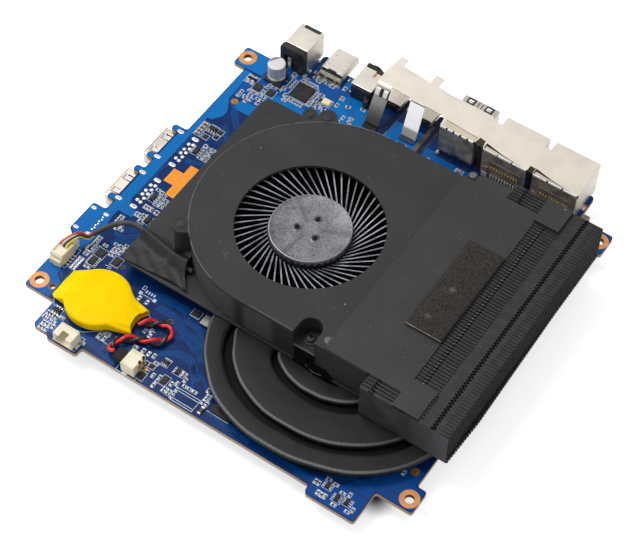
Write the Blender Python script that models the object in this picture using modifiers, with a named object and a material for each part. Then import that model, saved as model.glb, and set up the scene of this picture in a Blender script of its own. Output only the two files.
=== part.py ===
"""Main board of a small desktop computer with its blower cooler, one object for each piece.

Lengths are millimetres on the board's own datum: X and Y from the centre of the front left
mounting hole, Z from the board's top face. The helpers turn them into metres.
"""

import math

import bmesh
import bpy
from mathutils import Matrix, Vector

MM = 0.001
SEAT = 0.3
OVERCUT = 1.0

# Whole object: extents on the datum, used to stand it on the middle of its underside.
LEFT, RIGHT = -5.4, 141.6
FRONT, REAR = -15.8, 133.4
UNDERSIDE = -7.4

# Board
BOARD_THICK = 1.6
HOLE_SPACING_X, HOLE_SPACING_Y = 137.9, 113.5
MOUNT_HOLE_R = 1.6
CORNER_ROUND = 0.9

# Rear ports stand on the board and end near one panel plane
PORT_FACE = 131.6
PORT_FOOT = 0.2
SHEET = 0.4
LAN_TOP = 13.2
LAN_WIDTH, LAN_REAR, LAN_FACE = 16.5, 115.0, 130.7
LAN_LEFTS = (92.0, 110.5)
BRACKET_LOW, BRACKET_HIGH = 13.45, 13.75

# Front ports hang under the board
FRONT_USB_MIDDLES = (46.4, 67.35)
USB_WIDTH, USB_HEIGHT = 13.1, 5.5

# Blower: volute grows from the front, round the left, to the rear
FAN_X, FAN_Y = 66.4, 53.5
VOLUTE_START, VOLUTE_GROWTH = 35.0, 8.0
DUCT_END = 110.4
CASE_LOW, CASE_HIGH = 6.5, 18.6
CASE_WALL, CASE_FLOOR = 1.2, 0.9
COVER_LOW, COVER_HIGH = 18.9, 19.9
INLET_R = 23.75
NOTCH_X, NOTCH_Y, NOTCH_R = 87.75, 22.2, 3.75
NOTCH_FLOOR = 13.5
EARS = ((33.2, 31.4, 3.2), (41.2, 90.6, 2.6), (46.6, 92.8, 3.2))

# Rotor: straight slats, tangent to a small circle, lagging the clockwise turn
BLADES = 53
BLADE_TANGENT_R = 9.8
BLADE_THICK = 0.42
BLADE_LOW = 8.2
BLADE_STATIONS = ((12.7, 14.9), (23.0, 17.8), (31.4, 17.8))
HUB_R, HUB_TOP, HUB_LOW = 13.25, 18.4, 7.8
HUB_WALL = 1.1
SHAFT_R = 1.0

# Fin stack
FIN_X0, FIN_X1 = 111.0, 141.6
FIN_Y0, FIN_Y1 = 13.2, 104.0
FIN_LOW, FIN_HIGH = 5.5, 19.8
FIN_PITCH, FIN_THICK, FIN_SKIN = 1.21, 0.3, 0.35

# Heat pipes: three flat pipes bent round one centre, legs towards the rear
BEND_X, BEND_Y = 97.0, 29.5
PIPE_LOW, PIPE_HIGH = 2.5, 5.1
PIPES = {"heat_pipe_outer": (38.4, 6.8), "heat_pipe_middle": (26.3, 13.3), "heat_pipe_inner": (14.8, 6.5)}
PIPE_LEFT_END, PIPE_RIGHT_END = 68.0, 100.0

# Cooler base plate and its legs
PLATE_LOW, PLATE_HIGH = 5.4, 6.2
PLATE_LEGS = ((24.0, 24.0), (24.0, 92.0), (97.0, 93.0), (97.0, 36.0))
PLATE_LEG_R = 2.5

# Clock battery and its twisted leads
CELL_X, CELL_Y, CELL_R = 21.0, 3.3, 10.0
SLEEVE_LOW, SLEEVE_HIGH = 0.25, 4.35
LEAD_R, LEAD_TWIST_R, LEAD_TURN = 0.55, 0.75, 8.5
LEAD_ROUTE = (
    (36.6, 3.4, 2.2), (38.6, 5.2, 2.0), (41.4, 7.2, 1.7), (44.8, 7.9, 1.6), (46.9, 5.2, 1.6),
    (45.6, 1.6, 1.6), (41.2, -0.4, 1.6), (37.2, -2.6, 1.6), (34.6, -5.6, 1.7), (35.0, -8.4, 2.0),
    (37.2, -9.2, 2.2),
)

# Fan lead, and the tape that holds it down beside the blower
SLEEVE_R = 0.85
FAN_WIRE_R, FAN_WIRE_STEP = 0.27, 0.85
SLEEVE_ROUTE = (
    (4.8, 21.7, 3.7), (6.9, 25.0, 4.8), (11.2, 28.7, 6.7), (16.0, 30.1, 7.5), (20.4, 29.5, 7.5),
    (26.0, 28.2, 7.5), (32.0, 26.8, 7.5), (37.0, 26.0, 7.5), (41.0, 25.7, 7.5),
)
TAPE_LEFT, TAPE_FRONT = 19.6, 18.4
TAPE_THICK = 0.35

FINISHES = {
    "solder_mask": ((0.010, 0.072, 0.260), 0.42, 0.0),
    "nickel": ((0.72, 0.66, 0.58), 0.30, 1.0),
    "black_moulding": ((0.018, 0.018, 0.019), 0.55, 0.0),
    "cream_nylon": ((0.80, 0.74, 0.60), 0.45, 0.0),
    "brass_pin": ((0.78, 0.62, 0.30), 0.30, 1.0),
    "blue_insert": ((0.02, 0.10, 0.42), 0.45, 0.0),
    "can_aluminium": ((0.70, 0.70, 0.71), 0.28, 1.0),
    "black_coat": ((0.045, 0.045, 0.046), 0.48, 0.0),
    "copper": ((0.72, 0.36, 0.20), 0.30, 1.0),
    "fan_plastic": ((0.047, 0.047, 0.048), 0.55, 0.0),
    "rotor_plastic": ((0.040, 0.040, 0.042), 0.40, 0.0),
    "film": ((0.050, 0.050, 0.051), 0.60, 0.0),
    "foam": ((0.052, 0.042, 0.034), 0.95, 0.0),
    "tape": ((0.025, 0.025, 0.026), 0.35, 0.0),
    "yellow_shrink": ((0.95, 0.72, 0.01), 0.30, 0.0),
    "cell_steel": ((0.62, 0.62, 0.63), 0.30, 1.0),
    "red_wire": ((0.62, 0.015, 0.012), 0.32, 0.0),
    "black_wire": ((0.012, 0.012, 0.013), 0.35, 0.0),
    "white_wire": ((0.80, 0.80, 0.78), 0.40, 0.0),
    "yellow_wire": ((0.85, 0.68, 0.05), 0.40, 0.0),
    "substrate": ((0.02, 0.16, 0.09), 0.50, 0.0),
}


def clear_scene():
    for obj in list(bpy.data.objects):
        bpy.data.objects.remove(obj, do_unlink=True)


def new_collection(name):
    group = bpy.data.collections.new(name)
    bpy.context.scene.collection.children.link(group)
    return group


def new_datum():
    """An empty on the front left mounting hole, which carries every piece."""
    datum = bpy.data.objects.new("board_datum", None)
    datum.location = Vector((-(LEFT + RIGHT) / 2, -(FRONT + REAR) / 2, -UNDERSIDE)) * MM
    PARTS.objects.link(datum)
    return datum


def finish(name):
    """The material of that name, made from its row the first time it is asked for."""
    look = bpy.data.materials.get(name)
    if look is None:
        colour, roughness, metallic = FINISHES[name]
        look = bpy.data.materials.new(name)
        look.use_nodes = True
        shader = look.node_tree.nodes["Principled BSDF"]
        shader.inputs["Base Color"].default_value = (*colour, 1.0)
        shader.inputs["Roughness"].default_value = roughness
        shader.inputs["Metallic"].default_value = metallic
    return look


def part(name, obj, look):
    """Names a solid as one piece of the assembly and hangs it on the datum."""
    obj.name = name
    obj.data.name = name
    obj.data.materials.clear()
    obj.data.materials.append(finish(look))
    obj.parent = DATUM
    PARTS.objects.link(obj)
    return obj


def tool(obj):
    """Puts a solid among the cutters, out of the finished assembly."""
    obj.name = "tool"
    obj.parent = DATUM
    obj.hide_render = True
    obj.display_type = "WIRE"
    CUTTERS.objects.link(obj)
    return obj


def boolean(obj, operation, others):
    for other in others:
        modifier = obj.modifiers.new(operation.title(), "BOOLEAN")
        modifier.operation = operation
        modifier.solver = "EXACT"
        modifier.object = tool(other)
    return obj


def cut(obj, *others):
    return boolean(obj, "DIFFERENCE", others)


def fuse(obj, *others):
    return boolean(obj, "UNION", others)


def soften(obj, width, segments=1):
    """Rounds the edges of a solid that turn by more than half a right angle."""
    modifier = obj.modifiers.new("Soften", "BEVEL")
    modifier.width = width * MM
    modifier.segments = segments
    modifier.limit_method = "ANGLE"
    modifier.angle_limit = math.radians(50)
    return obj


def solid_of(curve, scale=MM):
    """The solid of a curve drawn in millimetres, its loose caps welded to its sides."""
    guide = bpy.data.objects.new("guide", curve)
    bpy.context.scene.collection.objects.link(guide)
    graph = bpy.context.evaluated_depsgraph_get()
    mesh = bpy.data.meshes.new_from_object(guide.evaluated_get(graph))
    bpy.data.objects.remove(guide)
    shape = bmesh.new()
    shape.from_mesh(mesh)
    bmesh.ops.remove_doubles(shape, verts=shape.verts, dist=0.0005)
    bmesh.ops.recalc_face_normals(shape, faces=shape.faces)
    bmesh.ops.scale(shape, vec=(scale, scale, scale), verts=shape.verts)
    shape.to_mesh(mesh)
    shape.free()
    return bpy.data.objects.new("solid", mesh)


def outline_curve(loops, depth):
    curve = bpy.data.curves.new("outline", "CURVE")
    curve.dimensions = "2D"
    curve.fill_mode = "BOTH"
    curve.extrude = depth / 2
    for loop in loops:
        spline = curve.splines.new("POLY")
        spline.points.add(len(loop) - 1)
        for point, (across, along) in zip(spline.points, loop):
            point.co = (across, along, 0.0, 1.0)
        spline.use_cyclic_u = True
    return curve


def flat(outline, low, high, holes=()):
    """A plan outline with its holes, standing from low to high."""
    obj = solid_of(outline_curve((outline, *holes), high - low))
    obj.location = Vector((0, 0, (low + high) / 2)) * MM
    return obj


def along_y(outline, start, end):
    """An outline in X and Z, run along Y from start to end."""
    obj = solid_of(outline_curve((outline,), end - start))
    obj.rotation_euler = (math.pi / 2, 0, 0)
    obj.location = Vector((0, (start + end) / 2, 0)) * MM
    return obj


def along_x(outline, start, end):
    """An outline in Y and Z, run along X from start to end."""
    obj = solid_of(outline_curve((outline,), end - start))
    obj.rotation_euler = (math.pi / 2, 0, math.pi / 2)
    obj.location = Vector(((start + end) / 2, 0, 0)) * MM
    return obj


def block(x0, x1, y0, y1, low, high):
    shape = bmesh.new()
    bmesh.ops.create_cube(shape, size=1.0)
    bmesh.ops.scale(shape, vec=Vector((x1 - x0, y1 - y0, high - low)) * MM, verts=shape.verts)
    mesh = bpy.data.meshes.new("block")
    shape.to_mesh(mesh)
    shape.free()
    obj = bpy.data.objects.new("block", mesh)
    obj.location = Vector((x0 + x1, y0 + y1, low + high)) * MM / 2
    return obj


def drum(x, y, radius, low, high, sides=24):
    """A round post or hole along Z."""
    shape = bmesh.new()
    bmesh.ops.create_cone(
        shape, cap_ends=True, segments=sides,
        radius1=radius * MM, radius2=radius * MM, depth=(high - low) * MM,
    )
    mesh = bpy.data.meshes.new("drum")
    shape.to_mesh(mesh)
    shape.free()
    obj = bpy.data.objects.new("drum", mesh)
    obj.location = Vector((x, y, (low + high) / 2)) * MM
    return obj


def turned(profile, x, y, steps, closed=False):
    """A profile of radius and height, listed top to bottom on its outer side, turned about Z."""
    mesh = bpy.data.meshes.new("profile")
    points = [Vector((radius, 0, height)) * MM for radius, height in profile]
    edges = [(i, i + 1) for i in range(len(points) - 1)]
    if closed:
        edges.append((len(points) - 1, 0))
    mesh.from_pydata(points, edges, [])
    obj = bpy.data.objects.new("turned", mesh)
    obj.location = Vector((x, y, 0)) * MM
    screw = obj.modifiers.new("Turn", "SCREW")
    screw.steps = steps
    screw.render_steps = steps
    screw.use_merge_vertices = True
    screw.merge_threshold = 0.00001
    screw.use_smooth_shade = True
    return obj


def tube(points, radius, sides_step):
    """A round tube through the points, with closed ends."""
    curve = bpy.data.curves.new("route", "CURVE")
    curve.dimensions = "3D"
    curve.bevel_depth = radius
    curve.bevel_resolution = sides_step
    curve.use_fill_caps = True
    spline = curve.splines.new("POLY")
    spline.points.add(len(points) - 1)
    for point, place in zip(spline.points, points):
        point.co = (*place, 1.0)
    obj = solid_of(curve)
    obj.data.shade_smooth()
    obj.data.set_sharp_from_angle(angle=math.radians(60))
    return obj


def smooth_route(points, count):
    """Points at even steps on a smooth curve through the given points."""
    given = [Vector(point) for point in points]
    fine = []
    for i in range(len(given) - 1):
        before = given[max(i - 1, 0)]
        after = given[min(i + 2, len(given) - 1)]
        for step in range(24):
            t = step / 24
            start, end = given[i], given[i + 1]
            fine.append(
                0.5 * (2 * start + (end - before) * t + (2 * before - 5 * start + 4 * end - after) * t**2
                       + (3 * start - before - 3 * end + after) * t**3)
            )
    fine.append(given[-1])
    lengths = [0.0]
    for first, second in zip(fine, fine[1:]):
        lengths.append(lengths[-1] + (second - first).length)
    route = []
    spot = 0
    for step in range(count):
        wanted = lengths[-1] * step / (count - 1)
        while spot < len(fine) - 2 and lengths[spot + 1] < wanted:
            spot += 1
        share = (wanted - lengths[spot]) / max(lengths[spot + 1] - lengths[spot], 1e-9)
        route.append(fine[spot].lerp(fine[spot + 1], min(share, 1.0)))
    return route, lengths[-1]


def arc(x, y, radius, first, last, steps):
    """Points on an arc, angles in degrees."""
    angles = [math.radians(first + (last - first) * i / steps) for i in range(steps + 1)]
    return [(x + radius * math.cos(a), y + radius * math.sin(a)) for a in angles]


def circle(x, y, radius, steps):
    return arc(x, y, radius, 0, 360, steps)[:-1]


def rounded(outline, radius, steps=2):
    """The outline with each corner replaced by a short arc, no wider than its edges allow."""
    result = []
    for i, corner in enumerate(outline):
        here = Vector(corner)
        back = Vector(outline[i - 1]) - here
        ahead = Vector(outline[(i + 1) % len(outline)]) - here
        opening = back.angle(ahead)
        reach = min(radius / math.tan(opening / 2), back.length * 0.45, ahead.length * 0.45)
        start = here + back.normalized() * reach
        end = here + ahead.normalized() * reach
        for step in range(steps + 1):
            t = step / steps
            point = start * (1 - t) ** 2 + here * 2 * t * (1 - t) + end * t**2
            result.append((point.x, point.y))
    return result


def box_outline(x0, x1, y0, y1):
    return [(x0, y0), (x1, y0), (x1, y1), (x0, y1)]


def finger(x0, x1, base, tip):
    """The edge of a board finger between two ports, with a round end, listed right to left."""
    radius = (x1 - x0) / 2
    return [(x1, base)] + arc((x0 + x1) / 2, tip - radius, radius, 0, 180, 4) + [(x0, base)]


def board_outline():
    rear, shelf, slot_end = 117.6, 126.4, 111.4
    tab, notch, inset, step = -3.0, -0.4, 2.0, 0.0
    front_and_right = [
        (tab, -3.8), (8.9, -3.8), (8.9, -13.6), (9.9, -14.6), (14.5, -14.6), (15.7, FRONT), (26.7, FRONT),
        (26.7, -12.8), (111.0, -12.8), (111.0, -14.7), (112.0, FRONT), (128.6, FRONT), (128.6, -3.8),
        (141.0, -3.8), (141.0, 4.8), (137.5, 4.8), (137.5, 108.8), (141.0, 108.8), (141.0, rear),
    ]
    rear_edge = [
        (128.2, rear), *finger(125.7, 128.2, rear + 2, 128.4), (125.5, shelf),
        (71.6, shelf), (71.6, slot_end), (70.4, slot_end), *finger(68.9, 70.4, shelf, 127.8)[:-1],
        (68.8, shelf), (57.9, shelf), *finger(56.5, 57.9, shelf, 127.8)[1:-1], (56.4, shelf),
        (23.8, shelf), *finger(21.2, 23.8, shelf, 129.6)[1:-1], (21.2, shelf), (12.0, shelf), (12.0, rear),
        (tab, rear), (tab, 109.0), (inset, 109.0),
    ]
    left_edge = []
    for middle, above in zip(reversed(FRONT_USB_MIDDLES), (inset, step)):
        gap, post = 5.75, 8.2
        left_edge += [
            (above, middle + post), (tab, middle + post), (tab, middle + gap), (notch, middle + gap),
            (notch, middle - gap), (tab, middle - gap), (tab, middle - post), (step, middle - post),
        ]
    port_tab = [(step, 34.0), (-5.0, 34.0), (-5.0, 21.6), (tab, 20.4)]
    return front_and_right + rear_edge + left_edge + port_tab


def build_board():
    """Printed circuit board with its mounting holes and the holes of the cooler's legs."""
    holes = [
        circle(x, y, MOUNT_HOLE_R, 16) for x in (0, HOLE_SPACING_X) for y in (0, HOLE_SPACING_Y)
    ]
    holes += [circle(x, y, 1.3, 8) for x, y in PLATE_LEGS]
    holes.append(circle(5.0, 0.3, 1.0, 8))
    part("main_board", flat(rounded(board_outline(), CORNER_ROUND), -BOARD_THICK, 0, holes), "solder_mask")


def shell_ends(x0, x1, y0, y1, low, high):
    """A sheet metal box open on its +Y face."""
    inside = block(x0 + SHEET, x1 - SHEET, y0 + SHEET, y1 + OVERCUT, low + SHEET, high - SHEET)
    return cut(block(x0, x1, y0, y1, low, high), inside)


def build_power_inlet():
    """Barrel inlet: bent sheet shell, moulding with a rear flange, and the centre pin."""
    x0, x1, back, face, top = 11.7, 20.7, 119.3, 129.5, 10.7
    middle, bore_high, bore_r, bore_back = (x0 + x1) / 2, 5.6, 3.2, 121.0
    shell = along_y(
        [(x0, PORT_FOOT), (x0 + SHEET, PORT_FOOT), (x0 + SHEET, top - SHEET), (x1 - SHEET, top - SHEET),
         (x1 - SHEET, PORT_FOOT), (x1, PORT_FOOT), (x1, top), (x0, top)], back, face)
    slot = block(x0 + 1.6, x1 - 1.2, face - 1.3, face + OVERCUT, top - 1, top + 1)
    part("power_inlet_shell", cut(shell, slot), "nickel")
    inset = SHEET + SEAT
    moulding = block(x0 + inset, x1 - inset, back - 1, face - 0.4, PORT_FOOT, top - inset)
    flange = along_y(
        rounded(box_outline(x0 - 0.7, x1 - 0.1, PORT_FOOT, top - 0.1), 1.2), back - 2.2, back - SEAT)
    bore = along_y(circle(middle, bore_high, bore_r, 16), bore_back, face + OVERCUT)
    recess = block(x0 + 0.9, x1 - 4.3, back - 3, back - 0.9, PORT_FOOT - 1, 6.6)
    part("power_inlet_moulding", cut(fuse(moulding, flange), bore, recess), "black_moulding")
    pin = along_y(circle(middle, bore_high, 1.0, 10), bore_back + SEAT, face - 1.2)
    part("power_inlet_pin", pin, "brass_pin")


def port(name, outline, hollow, tongue, back, face, look="black_moulding"):
    """A port shell run along Y, and an insulator with a rear plug and a tongue inside it."""
    shell = along_y(outline, back, face)
    part(name + "_shell", cut(shell, along_y(hollow, back - OVERCUT, face + OVERCUT)), "nickel")
    x0, x1, low, high = tongue
    xs, zs = [x for x, z in hollow], [z for x, z in hollow]
    plug = block(min(xs) + 0.9, max(xs) - 0.9, back - 0.6, back + 2.4, min(zs) + SEAT, max(zs) - SEAT)
    part(name + "_insulator", fuse(plug, block(x0, x1, back + 1, face - 1.2, low, high)), look)


def chamfered(x0, x1, low, high, chamfer_low, chamfer_high):
    return [
        (x0 + chamfer_low, low), (x1 - chamfer_low, low),
        (x1, low + chamfer_low), (x1, high - chamfer_high),
        (x1 - chamfer_high, high), (x0 + chamfer_high, high),
        (x0, high - chamfer_high), (x0, low + chamfer_low),
    ]


def build_rear_signal_ports():
    """Oval USB-C port and two small video ports, each a shell and an insulator."""
    x0, x1, low, high, wall = 24.2, 33.4, 0.3, 3.6, 0.35
    oval = rounded(box_outline(x0, x1, low, high), 1.5, 4)
    oval_hollow = rounded(box_outline(x0 + wall, x1 - wall, low + wall, high - wall), 1.2, 4)
    port("rear_usb_c", oval, oval_hollow, (x0 + 1.4, x1 - 1.4, 1.6, 2.3), 122.3, PORT_FACE + 0.8)
    for number, x0 in enumerate((46.4, 58.7), start=1):
        x1 = x0 + 9.9
        outer = chamfered(x0, x1, PORT_FOOT, high, 1.1, 0.3)
        inner = chamfered(x0 + wall, x1 - wall, PORT_FOOT + wall, high - wall, 1.0, 0.2)
        port(f"video_port_{number}", outer, inner, (x0 + 1.6, x1 - 1.6, 1.7, 2.5), 122.3, PORT_FACE)


def build_audio_jack():
    """Black moulding with a round nose and bore, under a folded metal cover."""
    x0, x1, back, face, top = 38.2, 46.2, 119.8, 127.6, 6.2
    nose_x, nose_z = 41.4, 3.1
    moulding = block(x0 + 0.2, x1 - 0.2, back - 0.6, face, PORT_FOOT, top - 0.6)
    nose = along_y(circle(nose_x, nose_z, 2.9, 16), face - 1, PORT_FACE - 0.4)
    bore = along_y(circle(nose_x, nose_z, 1.8, 12), back + 1, PORT_FACE + OVERCUT)
    part("audio_jack_moulding", cut(fuse(moulding, nose), bore), "black_moulding")
    cover = block(x0, x1, back, face - 1.4, top - 0.3, top)
    part("audio_jack_cover", cover, "nickel")


def build_usb_stack():
    """Two USB-A ports one above the other in one shell, with spring windows in the top."""
    x0, x1, back, face, foot, top = 75.5, 88.6, 115.3, 132.0, PORT_FOOT, 13.1
    web_low, web_high, chamber = 6.2, 7.1, 121.4
    inside = (x0 + SHEET, x1 - SHEET)
    shell = cut(
        block(x0, x1, back, face, foot, top),
        block(*inside, back + SHEET, chamber, foot + SHEET, top - SHEET),
        block(*inside, chamber - 0.5, face + OVERCUT, foot + SHEET, web_low),
        block(*inside, chamber - 0.5, face + OVERCUT, web_high, top - SHEET),
    )
    for middle in (78.6, 85.4):
        cut(shell, block(middle - 1.3, middle + 1.3, 129.2, 131.2, top - 1, top + 1))
    part("usb_stack_shell", shell, "nickel")
    rear = block(x0 + 0.8, x1 - 0.8, back + 0.8, chamber - 0.6, foot + 0.8, top - 0.8)
    tongues = [
        block(x0 + 1.5, x1 - 1.5, chamber - 1, face - 1.2, high - 2.6, high - 0.9)
        for high in (web_low, top - SHEET)
    ]
    part("usb_stack_insulator", fuse(rear, *tongues), "black_moulding")


def build_lan_jacks():
    """Network jacks: sheet shell open to the rear panel, and an insert with the plug's hollow."""
    for number, x0 in enumerate(LAN_LEFTS, start=1):
        x1 = x0 + LAN_WIDTH
        shell = shell_ends(x0, x1, LAN_REAR, LAN_FACE, PORT_FOOT, LAN_TOP)
        part(f"lan_jack_{number}_shell", shell, "nickel")
        gap = SHEET + SEAT
        insert = block(x0 + gap, x1 - gap, LAN_REAR + gap, LAN_FACE - 0.5, PORT_FOOT + gap, LAN_TOP - gap)
        middle, depth = (x0 + x1) / 2, 118.5
        for half, low, high in ((5.95, 4.2, 11.0), (3.1, 2.7, 5.0), (1.7, 1.6, 3.5)):
            cut(insert, block(middle - half, middle + half, depth, LAN_FACE + OVERCUT, low, high))
        part(f"lan_jack_{number}_insert", insert, "black_moulding")


def bracket_leg(x0, x1, foot):
    """A leg bent down from the strip's inner edge, with a short flat foot."""
    edge, sheet = 119.2, BRACKET_HIGH - BRACKET_LOW
    return along_x(
        [(edge, BRACKET_HIGH), (foot, 0.2 + sheet), (foot - 1.5, 0.2 + sheet), (foot - 1.5, 0.2),
         (foot + 0.25, 0.2), (edge + 0.35, BRACKET_LOW),
         (edge + 2.5, BRACKET_LOW), (edge + 2.5, BRACKET_HIGH)],
        x0, x1)


def build_port_bracket():
    """Nickel strip over the rear ports, with two spring tabs and two sloping legs."""
    strip = [
        (48.6, 120.2), (75.0, 119.2), (75.5, 115.5), (88.6, 115.5), (89.2, 118.4), (91.4, 118.0),
        (92.0, 115.2), (127.2, 115.2), (127.2, 130.9), (110.6, 130.9),
        (110.6, 127.0), (108.5, 127.0), (108.5, 130.9), (92.2, 130.9), (92.2, 127.2), (89.6, 126.6),
        (88.0, 128.4), (71.0, 128.6), (66.6, 129.2), (66.6, 133.0), (63.2, 133.0), (63.2, 129.2),
        (52.2, 130.2), (52.2, REAR), (49.4, REAR), (48.3, 125.5),
    ]
    bracket = flat(strip, BRACKET_LOW, BRACKET_HIGH)
    legs = bracket_leg(48.9, 54.1, 111.8), bracket_leg(61.9, 67.4, 114.2)
    part("port_bracket", fuse(bracket, *legs), "nickel")


def build_front_ports():
    """Two USB-A ports and one USB-C port under the board, opening past its left edge."""
    top = -BOARD_THICK - SEAT
    low = top - USB_HEIGHT
    back, face = 9.4, LEFT
    for number, middle in enumerate(FRONT_USB_MIDDLES, start=1):
        y0, y1 = middle - USB_WIDTH / 2, middle + USB_WIDTH / 2
        shell = cut(
            block(face, back, y0, y1, low, top),
            block(face - OVERCUT, back - SHEET, y0 + SHEET, y1 - SHEET, low + SHEET, top - SHEET),
        )
        for side in (-1, 1):
            window = middle + side * 3.2
            cut(shell, block(-4.4, -1.4, window - 1.2, window + 1.2, top - 1, top + 1))
        part(f"front_usb_{number}_shell", shell, "nickel")
        plug = block(4.0, back - SHEET - SEAT, y0 + 0.8, y1 - 0.8, low + 0.8, top - 0.8)
        tongue = block(face + 1.2, 5.0, y0 + 1.5, y1 - 1.5, top - 2.7, top - 0.9)
        part(f"front_usb_{number}_insulator", fuse(plug, tongue), "blue_insert")
    y0, y1, wall, low = 23.1, 32.1, 0.35, top - 3.2
    shell = along_x(rounded(box_outline(y0, y1, low, top), 1.5, 4), LEFT + 0.3, 2.6)
    inside = rounded(box_outline(y0 + wall, y1 - wall, low + wall, top - wall), 1.2, 4)
    hollow = along_x(inside, LEFT - 1, 3.6)
    part("front_usb_c_shell", cut(shell, hollow), "nickel")
    plug = block(0.2, 3.2, y0 + 1.3, y1 - 1.3, low + wall + SEAT, top - wall - SEAT)
    tongue = block(LEFT + 1.5, 1.0, y0 + 1.4, y1 - 1.4, low + 1.25, low + 1.95)
    part("front_usb_c_insulator", fuse(plug, tongue), "black_moulding")


def build_capacitor():
    """Can with a crimped groove near its foot, standing in a seat with two cut corners."""
    x, y, radius, seat_half = 13.4, 111.6, 3.15, 3.35
    corner = 1.3
    seat = [
        (x - seat_half, y - seat_half), (x + seat_half, y - seat_half),
        (x + seat_half, y + seat_half - corner),
        (x + seat_half - corner, y + seat_half), (x - seat_half + corner, y + seat_half),
        (x - seat_half, y + seat_half - corner),
    ]
    part("capacitor_seat", flat(seat, 0.15, 1.2), "black_moulding")
    profile = [
        (0, 7.6), (radius - 0.5, 7.6), (radius - 0.12, 7.45), (radius, 7.1),
        (radius, 2.7), (radius - 0.3, 2.4),
        (radius, 2.1), (radius, 1.4), (0, 1.4),
    ]
    part("capacitor_can", turned(profile, x, y, 24), "can_aluminium")


def build_controller_chip():
    part("controller_chip", soften(block(21.2, 27.8, 107.7, 114.3, 0.12, 0.95), 0.12), "black_moulding")


def build_headers():
    """Side entry headers: a cream block, hollowed from the face that the plug enters."""
    fan = cut(block(-2.2, 2.8, 8.2, 14.8, 0.15, 4.1), block(-1.6, 2.2, 9.0, 15.8, 0.9, 3.4))
    part("fan_header", fan, "cream_nylon")
    part("fan_plug", soften(block(-1.3, 1.9, 9.4, 16.0, 1.2, 3.1), 0.2), "cream_nylon")
    battery = cut(block(41.6, 46.6, -12.4, -6.0, 0.15, 4.4), block(40.6, 45.4, -11.7, -6.7, 0.8, 3.7))
    part("battery_header", battery, "cream_nylon")
    part("battery_plug", soften(block(37.6, 45.0, -11.4, -7.0, 1.1, 3.4), 0.25), "black_moulding")
    side = cut(block(18.0, 25.0, -15.4, -10.6, 0.15, 4.5), block(18.7, 24.3, -16.4, -11.6, 0.9, 4.0))
    part("side_header", cut(side, block(20.2, 22.8, -16.4, -13.0, 3.0, 5.5)), "cream_nylon")


def sleeve_outline(grow):
    """Heat-shrink round the cell: a disc drawn out to a flap on the left and a mouth on the right."""
    radius = CELL_R + grow
    flap = 8.6 + (0.6 - grow)
    return [
        (flap, -3.2), *arc(CELL_X, CELL_Y, radius, 232, 322, 9), (36.2, -0.8), (36.3, 8.4), (30.6, 9.6),
        *arc(CELL_X, CELL_Y, radius, 46, 138, 9), (flap, 8.6),
    ]


def build_battery():
    """Coin cell in a shrunk sleeve that is open where the leads come out."""
    sleeve = soften(flat(sleeve_outline(0.7), SLEEVE_LOW, SLEEVE_HIGH), 0.9, 3)
    mouth = [(CELL_X, -0.2), (37.5, -0.2), (37.5, 7.6), (CELL_X, 8.6)]
    pocket = flat(circle(CELL_X, CELL_Y, CELL_R + 0.25, 32), SLEEVE_LOW + 0.3, SLEEVE_HIGH - 0.3)
    part("battery_sleeve", cut(sleeve, pocket, flat(mouth, 1.0, 3.4)), "yellow_shrink")
    low, high = SLEEVE_LOW + 0.5, SLEEVE_HIGH - 0.5
    can = [
        (0, high), (8.8, high), (8.8, high - 0.5), (9.2, high - 0.7),
        (CELL_R, high - 0.9), (CELL_R, low), (0, low),
    ]
    part("coin_cell", turned(can, CELL_X, CELL_Y, 32), "cell_steel")


def twisted(route, length, phase):
    """One strand of a twisted pair about a route, untwisting into its two ends."""
    strand = []
    count = len(route)
    for i, place in enumerate(route):
        ahead = (route[min(i + 1, count - 1)] - route[max(i - 1, 0)]).normalized()
        side = ahead.cross(Vector((0, 0, 1))).normalized()
        up = side.cross(ahead)
        turn = phase + 2 * math.pi * (length * i / (count - 1)) / LEAD_TURN
        strand.append(place + (side * math.cos(turn) + up * math.sin(turn)) * LEAD_TWIST_R)
    return strand


def least_gap(first, second, radius):
    return min((a - b).length for a in first for b in second) - 2 * radius


def build_battery_leads():
    """Red and black leads twisted together from the sleeve's mouth round to the plug."""
    route, length = smooth_route(LEAD_ROUTE, 56)
    red = twisted(route, length, 0.0)
    black = twisted(route, length, math.pi)
    part("battery_lead_red", tube(red, LEAD_R, 1), "red_wire")
    part("battery_lead_black", tube(black, LEAD_R, 1), "black_wire")
    print(f"battery leads: {length:.1f} mm, least gap {least_gap(red, black, LEAD_R):.2f} mm")


def build_fan_lead():
    """Four coloured wires from the plug, over the header, to the mouth of a black sleeve."""
    route, length = smooth_route(SLEEVE_ROUTE, 26)
    part("fan_lead_sleeve", tube(route, SLEEVE_R, 2), "black_wire")
    entry = (route[1] - route[0]).normalized()
    mouth = route[0] - entry * 1.5 * SEAT
    path = ((0.3, 16.0 + SEAT, 2.2), (0.5, 17.4, 2.9), (2.2, 19.7, 4.0), mouth - entry * 1.2, mouth)
    bundle, wire_length = smooth_route(path, 18)
    for number, colour in enumerate(("red_wire", "white_wire", "black_wire", "yellow_wire")):
        wire = []
        for i, place in enumerate(bundle):
            heading = (bundle[min(i + 1, 17)] - bundle[max(i - 1, 0)]).normalized()
            side = heading.cross(Vector((0, 0, 1))).normalized()
            up = side.cross(heading)
            in_row = side * FAN_WIRE_STEP * (number - 1.5)
            in_sleeve = side * FAN_WIRE_STEP * (number // 2 - 0.5) + up * FAN_WIRE_STEP * (0.5 - number % 2)
            wire.append(place + in_row.lerp(in_sleeve, i / 17))
        part(f"fan_wire_{colour.split('_')[0]}", tube(wire, FAN_WIRE_R, 1), colour)
    print(f"fan lead: sleeve {length:.1f} mm, wires {wire_length:.1f} mm")


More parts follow.
